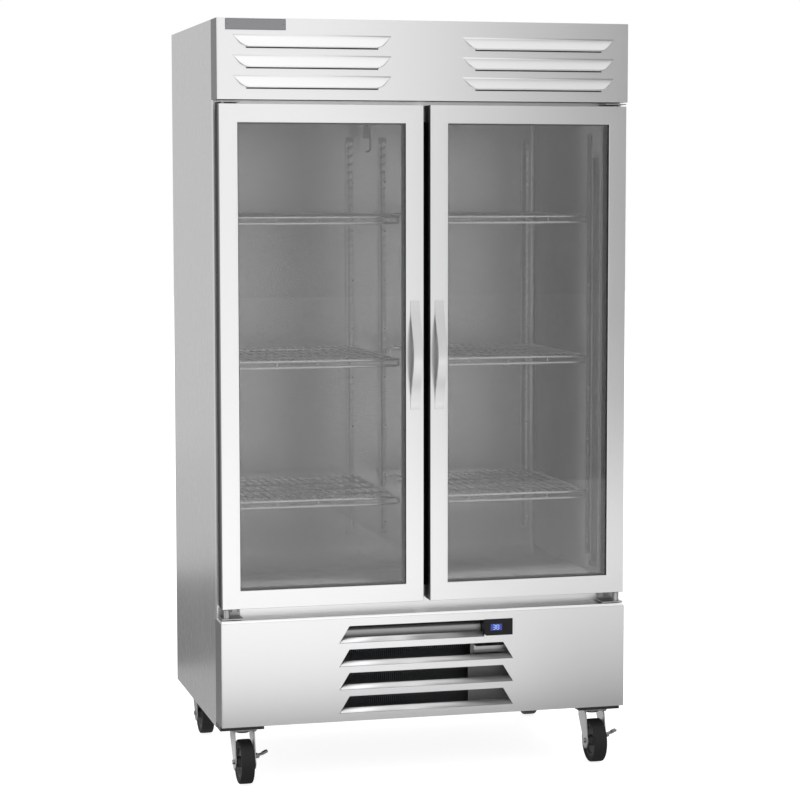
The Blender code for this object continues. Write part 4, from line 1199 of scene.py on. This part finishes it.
def compressor():
    """A hermetic compressor: a welded shell on feet with rubber mounts, its terminal box and pipes."""
    low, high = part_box("compressor")
    x, y = (low.x + high.x) / 2, (low.y + high.y) / 2
    radius = (high.y - low.y) / 2 - 0.001
    foot = low.z + 0.005
    seam = low.z + 0.105
    dome = 0.045
    shoulder = high.z - dome
    profile = [
        (radius - 0.020, foot),
        (radius - 0.004, foot + 0.012),
        (radius - 0.001, foot + 0.030),
        (radius - 0.001, seam - 0.004),
        (radius, seam - 0.002),
        (radius, seam + 0.002),
        (radius - 0.003, seam + 0.004),
        *dome_curve(radius - 0.003, shoulder, dome),
    ]
    shell = bmesh.new()
    rings = [[shell.verts.new((*p, z)) for p in circle((x, y), r, 40)] for r, z in profile]
    skin(shell, rings)
    add_box(shell, (low.x, low.y + 0.012, low.z), (high.x, low.y + 0.044, low.z + 0.003))
    add_box(shell, (low.x, high.y - 0.044, low.z), (high.x, high.y - 0.012, low.z + 0.003))
    piece("compressor_shell", shell, "black_paint", ["compressor"])
    trim = bmesh.new()
    for fx in (low.x + 0.012, high.x - 0.012):
        for fy in (low.y + 0.028, high.y - 0.028):
            add_prism(trim, circle((fx, fy), 0.0095, 20), "Z", low.z + 0.002, low.z + 0.012)
    add_box(trim, (x - 0.026, low.y - 0.012, low.z + 0.060), (x + 0.026, low.y + 0.030, low.z + 0.115))
    piece("compressor_mounts", trim, "seal_rubber", ease=0.0015)
    compressor_pipes(x, y, low, high)


def dome_curve(radius, shoulder, dome):
    """The radii and heights of a rounded top, up to just short of its middle."""
    angles = [math.radians(9 * i) for i in range(10)]
    return [(radius * math.cos(angle), shoulder + dome * math.sin(angle)) for angle in angles]


def compressor_pipes(x, y, low, high):
    """The copper pipes from the compressor to the coil and up to the cabinet, and the drier's barrel."""
    coil_low, coil_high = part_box("condenser_coil")
    rim, joint, rear = coil_high.x + 0.016, coil_high.x - 0.001, coil_high.y - 0.014
    upper, lower = coil_high.z - 0.020, coil_low.z + 0.030
    out = Vector((x + 0.05, low.y - 0.03, high.z - 0.075))
    riser, port = x - 0.115, low.z + 0.12
    drier_y, drier_z = coil_high.y + 0.060, coil_low.z + 0.060
    start = out + Vector((0, 0.07, 0))
    discharge = [start, out, (rim, out.y, upper), (rim, rear, upper), (joint, rear, upper)]
    suction = [
        (x - 0.07, y, port),
        (riser, y, port),
        (riser, y + 0.02, high.z + 0.02),
        (riser, y + 0.10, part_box("cabinet_floor")[0].z - 0.002),
    ]
    liquid = [
        (joint, rear, lower),
        (rim, rear, lower),
        (rim, drier_y - 0.045, drier_z - 0.010),
        (rim, drier_y, drier_z),
        (rim, drier_y + 0.15, drier_z),
    ]
    bm = bmesh.new()
    for path, bend, radius in ((discharge, 0.014, 0.0040), (suction, 0.016, 0.0055), (liquid, 0.010, 0.0035)):
        add_tube(bm, rounded_path(path, bend), radius, 10)
    barrel = [(0.004, -0.045), (0.011, -0.036), (0.011, 0.036), (0.004, 0.045)]
    add_turned(bm, barrel, "Y", (rim, drier_y + 0.060, drier_z), 20)
    piece("copper_pipes", bm, "copper")


def rear_screws():
    """The screws round the rear guard."""
    low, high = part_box("rear_grille")
    bm = bmesh.new()
    count = 6
    for i in range(count):
        x = low.x + 0.025 + (high.x - low.x - 0.050) * i / (count - 1)
        for z in (low.z + 0.014, high.z - 0.014):
            add_screw(bm, (x, high.y, z), (0, 1, 0), 0.0042)
    piece("rear_guard_screws", bm, "zinc")


# Casters.


def wheel_place(corner):
    """The centre and radius of a wheel."""
    low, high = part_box(f"{corner}_wheel")
    return (low + high) / 2, high.z / 2


def swivel_fork(corner, body):
    """A pressed steel fork: a crown with a raised race and two tapering legs."""
    low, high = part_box(f"{corner}_plate")
    x, y = (low.x + high.x) / 2, (low.y + high.y) / 2
    left, right = x - FORK_HALF, x + FORK_HALF
    hub, _ = wheel_place(corner)
    top = high.z - PLATE_THICK - 0.0003
    crown = 0.030
    leg = [
        (y + crown, top),
        (y - crown, top),
        (y - crown - 0.006, top - 0.014),
        *arc((hub.y, hub.z), 0.024, 176, 380, 20),
        (y + crown, top - 0.026),
    ]
    legs = bmesh.new()
    for start in (left, right - FORK_SHEET):
        add_prism(legs, leg, "X", start, start + FORK_SHEET)
    add_box(legs, (left + 0.001, y - crown, top - FORK_SHEET), (right - 0.001, y + crown, top))
    piece(f"{corner}_fork_legs", legs, "zinc", [f"{corner}_fork"], body, ease=0.0012)
    hardware = bmesh.new()
    add_hex_bolt(hardware, (left, hub.y, hub.z), "X", -1, 0.0065)
    if "rear" in corner:
        add_hex_bolt(hardware, (right, hub.y, hub.z), "X", 1, 0.0065)
    add_prism(hardware, circle((hub.y, hub.z), 0.0060, 20), "X", left, right)
    race = [(0.006, -0.011), (0.020, -0.011), (0.024, -0.007), (0.024, -0.004), (0.006, -0.004)]
    add_turned(hardware, [(radius, top + drop) for radius, drop in race], "Z", (x, y, 0), 32)
    piece(f"{corner}_axle_bolt", hardware, "zinc", body=body, ease=0.0003)


def caster_top(corner):
    """The plate that bolts the caster to the base, with its four bolts."""
    node = f"{corner}_plate"
    low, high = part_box(node)
    x, y = (low.x + high.x) / 2, (low.y + high.y) / 2
    underside = high.z - PLATE_THICK
    bm = bmesh.new()
    add_box(bm, (x - 0.034, low.y + 0.003, underside), (x + 0.034, high.y - 0.003, high.z))
    for dx in (-0.029, 0.029):
        for dy in (-0.036, 0.036):
            add_hex_bolt(bm, (x + dx, y + dy, underside), "Z", -1, 0.0050)
    piece(f"{corner}_top_plate", bm, "zinc", [node], ease=0.0004)


def wheel(corner, body):
    """A rubber tyre with rounded shoulders on a grey hub with a bearing."""
    hub, radius = wheel_place(corner)
    shoulder, crown = 0.0045, 0.0004
    rounding = arc((TREAD_HALF - shoulder, radius - shoulder - crown), shoulder, 0, 90, 6)
    bead = [(TYRE_INNER, TREAD_HALF - 0.004), (TYRE_INNER + 0.002, TREAD_HALF - 0.0015)]
    half = [*bead, *[(r, d) for d, r in rounding], (radius, 0.0)]
    tyre = bmesh.new()
    add_turned(tyre, [*half, *[(r, -d) for r, d in reversed(half[:-1])]], "X", hub, 64)
    piece(f"{corner}_tyre", tyre, "tyre", [f"{corner}_wheel"], body, degrees=50)
    web, rim = 0.010, TREAD_HALF - 0.003
    half = [(0.0068, 0.0245), (0.0125, 0.0245), (0.0150, 0.0225), (0.0165, web), (0.0370, web)]
    half += [(0.0400, rim - 0.002), (0.0420, rim), (TYRE_INNER + 0.0008, rim)]
    core = bmesh.new()
    add_turned(core, [*half, *[(r, -d) for r, d in reversed(half)]], "X", hub, 48)
    piece(f"{corner}_hub", core, "wheel_grey", body=body)


def brake_lever(corner, body):
    """A side lever: a barrel between the fork's ears, an arm and a foot pad that rises outwards."""
    node = f"{corner}_brake"
    low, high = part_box(node)
    barrel = 0.005
    pivot = Vector((low.x + barrel, low.z + barrel))
    slope = (Vector((high.x, high.z)) - pivot).normalized()
    half = Vector((-slope.y, slope.x)) * 0.0022
    start = pivot + slope * barrel * 0.6
    bend = Vector((high.x - 0.013, high.z - 0.009))
    tip = Vector((high.x, high.z - 0.0045))
    arm = [start - half, bend - half, bend + half, start + half]
    pad = [
        bend + Vector((-0.002, -0.003)),
        tip + Vector((-0.002, -0.001)),
        tip + Vector((0, 0.001)),
        tip + Vector((0, 0.0045)),
        tip + Vector((-0.006, 0.0035)),
        bend + Vector((-0.003, 0.003)),
    ]
    lever = bmesh.new()
    add_prism(lever, circle(pivot, barrel, 24), "Y", low.y, high.y)
    add_prism(lever, arm, "Y", low.y + 0.002, high.y - 0.002)
    add_prism(lever, pad, "Y", low.y + 0.001, high.y - 0.001)
    piece(f"{corner}_brake_arm", lever, "zinc", [node], body, ease=0.0005)
    ears = bmesh.new()
    ear, root = 0.0052, pivot.x - 0.0075
    outline = [(root, pivot.y - ear), *arc(pivot, ear, -90, 90, 8), (root, pivot.y + ear)]
    add_prism(ears, outline, "Y", low.y - 0.0036, low.y - 0.0005)
    add_prism(ears, outline, "Y", high.y + 0.0005, high.y + 0.0036)
    add_prism(ears, circle(pivot, 0.0022, 14), "Y", low.y - 0.0048, high.y + 0.0048)
    piece(f"{corner}_brake_ears", ears, "zinc", body=f"{corner}_swivel", ease=0.0003)


def caster(corner):
    """One caster; only the front ones have brakes."""
    caster_top(corner)
    swivel_fork(corner, f"{corner}_swivel")
    wheel(corner, f"{corner}_roller")
    if corner.startswith("front"):
        brake_lever(corner, f"{corner}_lever")


# Scene.


def finish_cad_nodes():
    """The finish of each CAD node that stays in view."""
    for side_name in SIDES:
        refinish(f"{side_name}_side_panel", "side_steel")
        refinish(f"{side_name}_wall", "white_plastic")
    for node, finish, ease in (
        ("back_wall", "galvanised", 0.002),
        ("ceiling", "galvanised", 0.001),
        ("cabinet_floor", "white_plastic", None),
        ("face_frame", "steel_x", 0.0012),
        ("center_mullion", "door_black", 0.0015),
        # The sill ledge takes the lighter steel as a painted highlight.
        ("sill_ledge", "highlit_sill_steel", 0.0008),
        # The base frame is painted black as painted shade under the grille, where the frame sits in shadow.
        ("base_frame", "black_paint", 0.0012),
        ("rear_grille", "galvanised", None),
        ("power_gland", "black_plastic", 0.0008),
        ("evaporator_cover", "aluminium", 0.0010),
        ("evaporator_coil", "fins", None),
        ("evaporator_fan", "black_plastic", None),
        ("fan_shroud", "black_paint", 0.0008),
        ("condenser_fan", "aluminium", None),
    ):
        refinish(node, finish, ease)


def stage_floor():
    """A plain pale floor."""
    bm = bmesh.new()
    add_box(bm, (-30, -30, -0.02), (30, 30, 0))
    material = varied("floor_white", (0.34, 0.34, 0.34), 0.70, (40.0, 40.0, 40.0), tone=0.01, depth=1e-6)
    shader = material.node_tree.nodes["Principled BSDF"]
    shader.inputs["Emission Color"].default_value = (1.0, 1.0, 1.0, 1.0)
    shader.inputs["Emission Strength"].default_value = FLOOR_GLOW
    mesh_object("floor", bm, [material])


def world():
    """An even surround that lights the object and looks pure white behind it."""
    surround = bpy.data.worlds.new("studio")
    surround.use_nodes = True
    nodes = surround.node_tree.nodes
    links = surround.node_tree.links
    lit = nodes["Background"]
    lit.inputs["Color"].default_value = (1.0, 1.0, 1.0, 1.0)
    lit.inputs["Strength"].default_value = SURROUND_LIGHT
    seen = nodes.new("ShaderNodeBackground")
    seen.inputs["Color"].default_value = (1.0, 1.0, 1.0, 1.0)
    path = nodes.new("ShaderNodeLightPath")
    mix = nodes.new("ShaderNodeMixShader")
    links.new(path.outputs["Is Camera Ray"], mix.inputs["Fac"])
    links.new(lit.outputs["Background"], mix.inputs[1])
    links.new(seen.outputs["Background"], mix.inputs[2])
    links.new(mix.outputs["Shader"], nodes["World Output"].inputs["Surface"])
    bpy.context.scene.world = surround


def card(name, low, high, near, far):
    """A studio card that only shows in reflections, its brightness graded along X from near to far."""
    bm = bmesh.new()
    add_box(bm, low, high)
    material = new_material(f"{name}_glow", (0.0, 0.0, 0.0), 1.0, Specular_IOR_Level=0.0)
    nodes = material.node_tree.nodes
    links = material.node_tree.links
    shader = nodes["Principled BSDF"]
    shader.inputs["Emission Color"].default_value = (1.0, 1.0, 1.0, 1.0)
    place = nodes.new("ShaderNodeTexCoord")
    axes = nodes.new("ShaderNodeSeparateXYZ")
    ramp = nodes.new("ShaderNodeMapRange")
    ramp.inputs["To Min"].default_value = near
    ramp.inputs["To Max"].default_value = far
    links.new(place.outputs["Generated"], axes.inputs["Vector"])
    links.new(axes.outputs["X"], ramp.inputs["Value"])
    links.new(ramp.outputs["Result"], shader.inputs["Emission Strength"])
    obj = mesh_object(name, bm, [material])
    obj.visible_camera = False
    obj.visible_diffuse = False
    obj.visible_transmission = False
    obj.visible_shadow = False


def cards():
    """The cards that shape the reflections: a graded one to the right, others on the floor and behind."""
    thin = 0.002
    front, back = CAD_BOX[0][1], CAD_BOX[1][1]
    far = front - 2.6
    foot = 0.50
    dim = 0.30
    card("left_card", (-3.2, far, foot), (-0.35, far + thin, 4.5), 0.60, 1.15)
    card("graded_card", (0.35, far, foot), (1.75, far + thin, 4.5), SURROUND_LIGHT, dim)
    card("right_card", (1.75, far, foot), (5.0, far + thin, 4.5), dim, dim)
    card("rear_right_card", (3.4, -3.0, 0.0), (3.4 + thin, 7.0, 3.6), 0.55, 0.55)
    for name, low, high, brightness in (
        ("front_floor_card", (-2.5, front - 0.85), (2.5, front + 0.25), 0.20),
        ("left_front_floor_card", (-7.0, front - 7.0), (-1.7, front - 1.2), 0.78),
        ("bright_floor_card", (-1.6, front - 6.0), (1.0, front - 2.6), 1.70),
        ("bright_right_floor_card", (1.05, front - 6.0), (3.0, front - 2.6), 1.45),
        ("centre_floor_card", (-1.6, front - 2.55), (0.65, front - 0.86), 1.40),
        ("right_front_floor_card", (0.7, front - 2.55), (2.5, front - 0.86), 0.68),
        ("right_floor_card", (0.75, -0.1), (3.35, 6.0), 0.55),
        ("near_floor_card", (-3.0, 0.2), (-0.1, back + 0.95), 0.50),
        ("middle_floor_card", (-3.5, back + 0.95), (0.3, back + 2.9), 0.25),
        ("far_floor_card", (-5.0, back + 2.9), (0.7, 8.0), 0.66),
    ):
        card(name, (*low, 0.002), (*high, 0.002 + thin), brightness, brightness)
    card("back_card", (-9.0, 8.0, 0.0), (3.0, 8.0 + thin, 9.0), 0.73, 0.73)


def softbox(name, place, target, size, brightness):
    """A rectangular studio light that faces a target."""
    data = bpy.data.lights.new(name, "AREA")
    data.shape = "RECTANGLE"
    data.size, data.size_y = size
    data.energy = brightness * math.pi * size[0] * size[1]
    lamp = bpy.data.objects.new(name, data)
    lamp.location = place
    lamp.rotation_euler = (Vector(target) - Vector(place)).to_track_quat("-Z", "Y").to_euler()
    bpy.context.scene.collection.objects.link(lamp)


def lights():
    """A broad light high in front, and another high to the left."""
    softbox("front_box", (0.2, -4.6, 5.6), (0.0, 0.0, 1.6), (2.4, 1.8), 0.45)
    softbox("left_box", (-4.5, -2.0, 5.0), (0.0, 0.0, 1.2), (2.5, 2.5), 1.5)


def camera():
    """The camera at the photograph's viewing angle."""
    data = bpy.data.cameras.new("camera")
    data.lens = CAMERA_LENS
    data.sensor_width = 36.0
    data.clip_end = 100.0
    view = bpy.data.objects.new("camera", data)
    forward = Vector(
        (
            math.sin(CAMERA_YAW) * math.cos(CAMERA_PITCH),
            math.cos(CAMERA_YAW) * math.cos(CAMERA_PITCH),
            -math.sin(CAMERA_PITCH),
        )
    )
    level_right = Vector((math.cos(CAMERA_YAW), -math.sin(CAMERA_YAW), 0))
    level_up = level_right.cross(forward)
    right = level_right * math.cos(CAMERA_ROLL) + level_up * math.sin(CAMERA_ROLL)
    up = level_up * math.cos(CAMERA_ROLL) - level_right * math.sin(CAMERA_ROLL)
    turn = Matrix((right, up, -forward)).transposed()
    view.matrix_world = Matrix.Translation(CAMERA_PLACE) @ turn.to_4x4()
    bpy.context.scene.collection.objects.link(view)
    bpy.context.scene.camera = view


def build():
    """Builds the object piece by piece, then the studio round it."""
    finish_cad_nodes()
    for part in (header, badge, grille, liner, pilasters):
        part()
    for side_name, side in SIDES.items():
        for level in LEVELS:
            shelf(side_name, level)
        led_bar(side_name, side)
        door(side_name)
    for part in (shelf_clips, evaporator_trim, hinge_screws, controller, condenser, compressor, rear_screws):
        part()
    for corner in CORNERS:
        caster(corner)
    for part in (stage_floor, world, cards, lights, camera):
        part()
    bpy.context.scene.view_settings.view_transform = "Standard"


build()
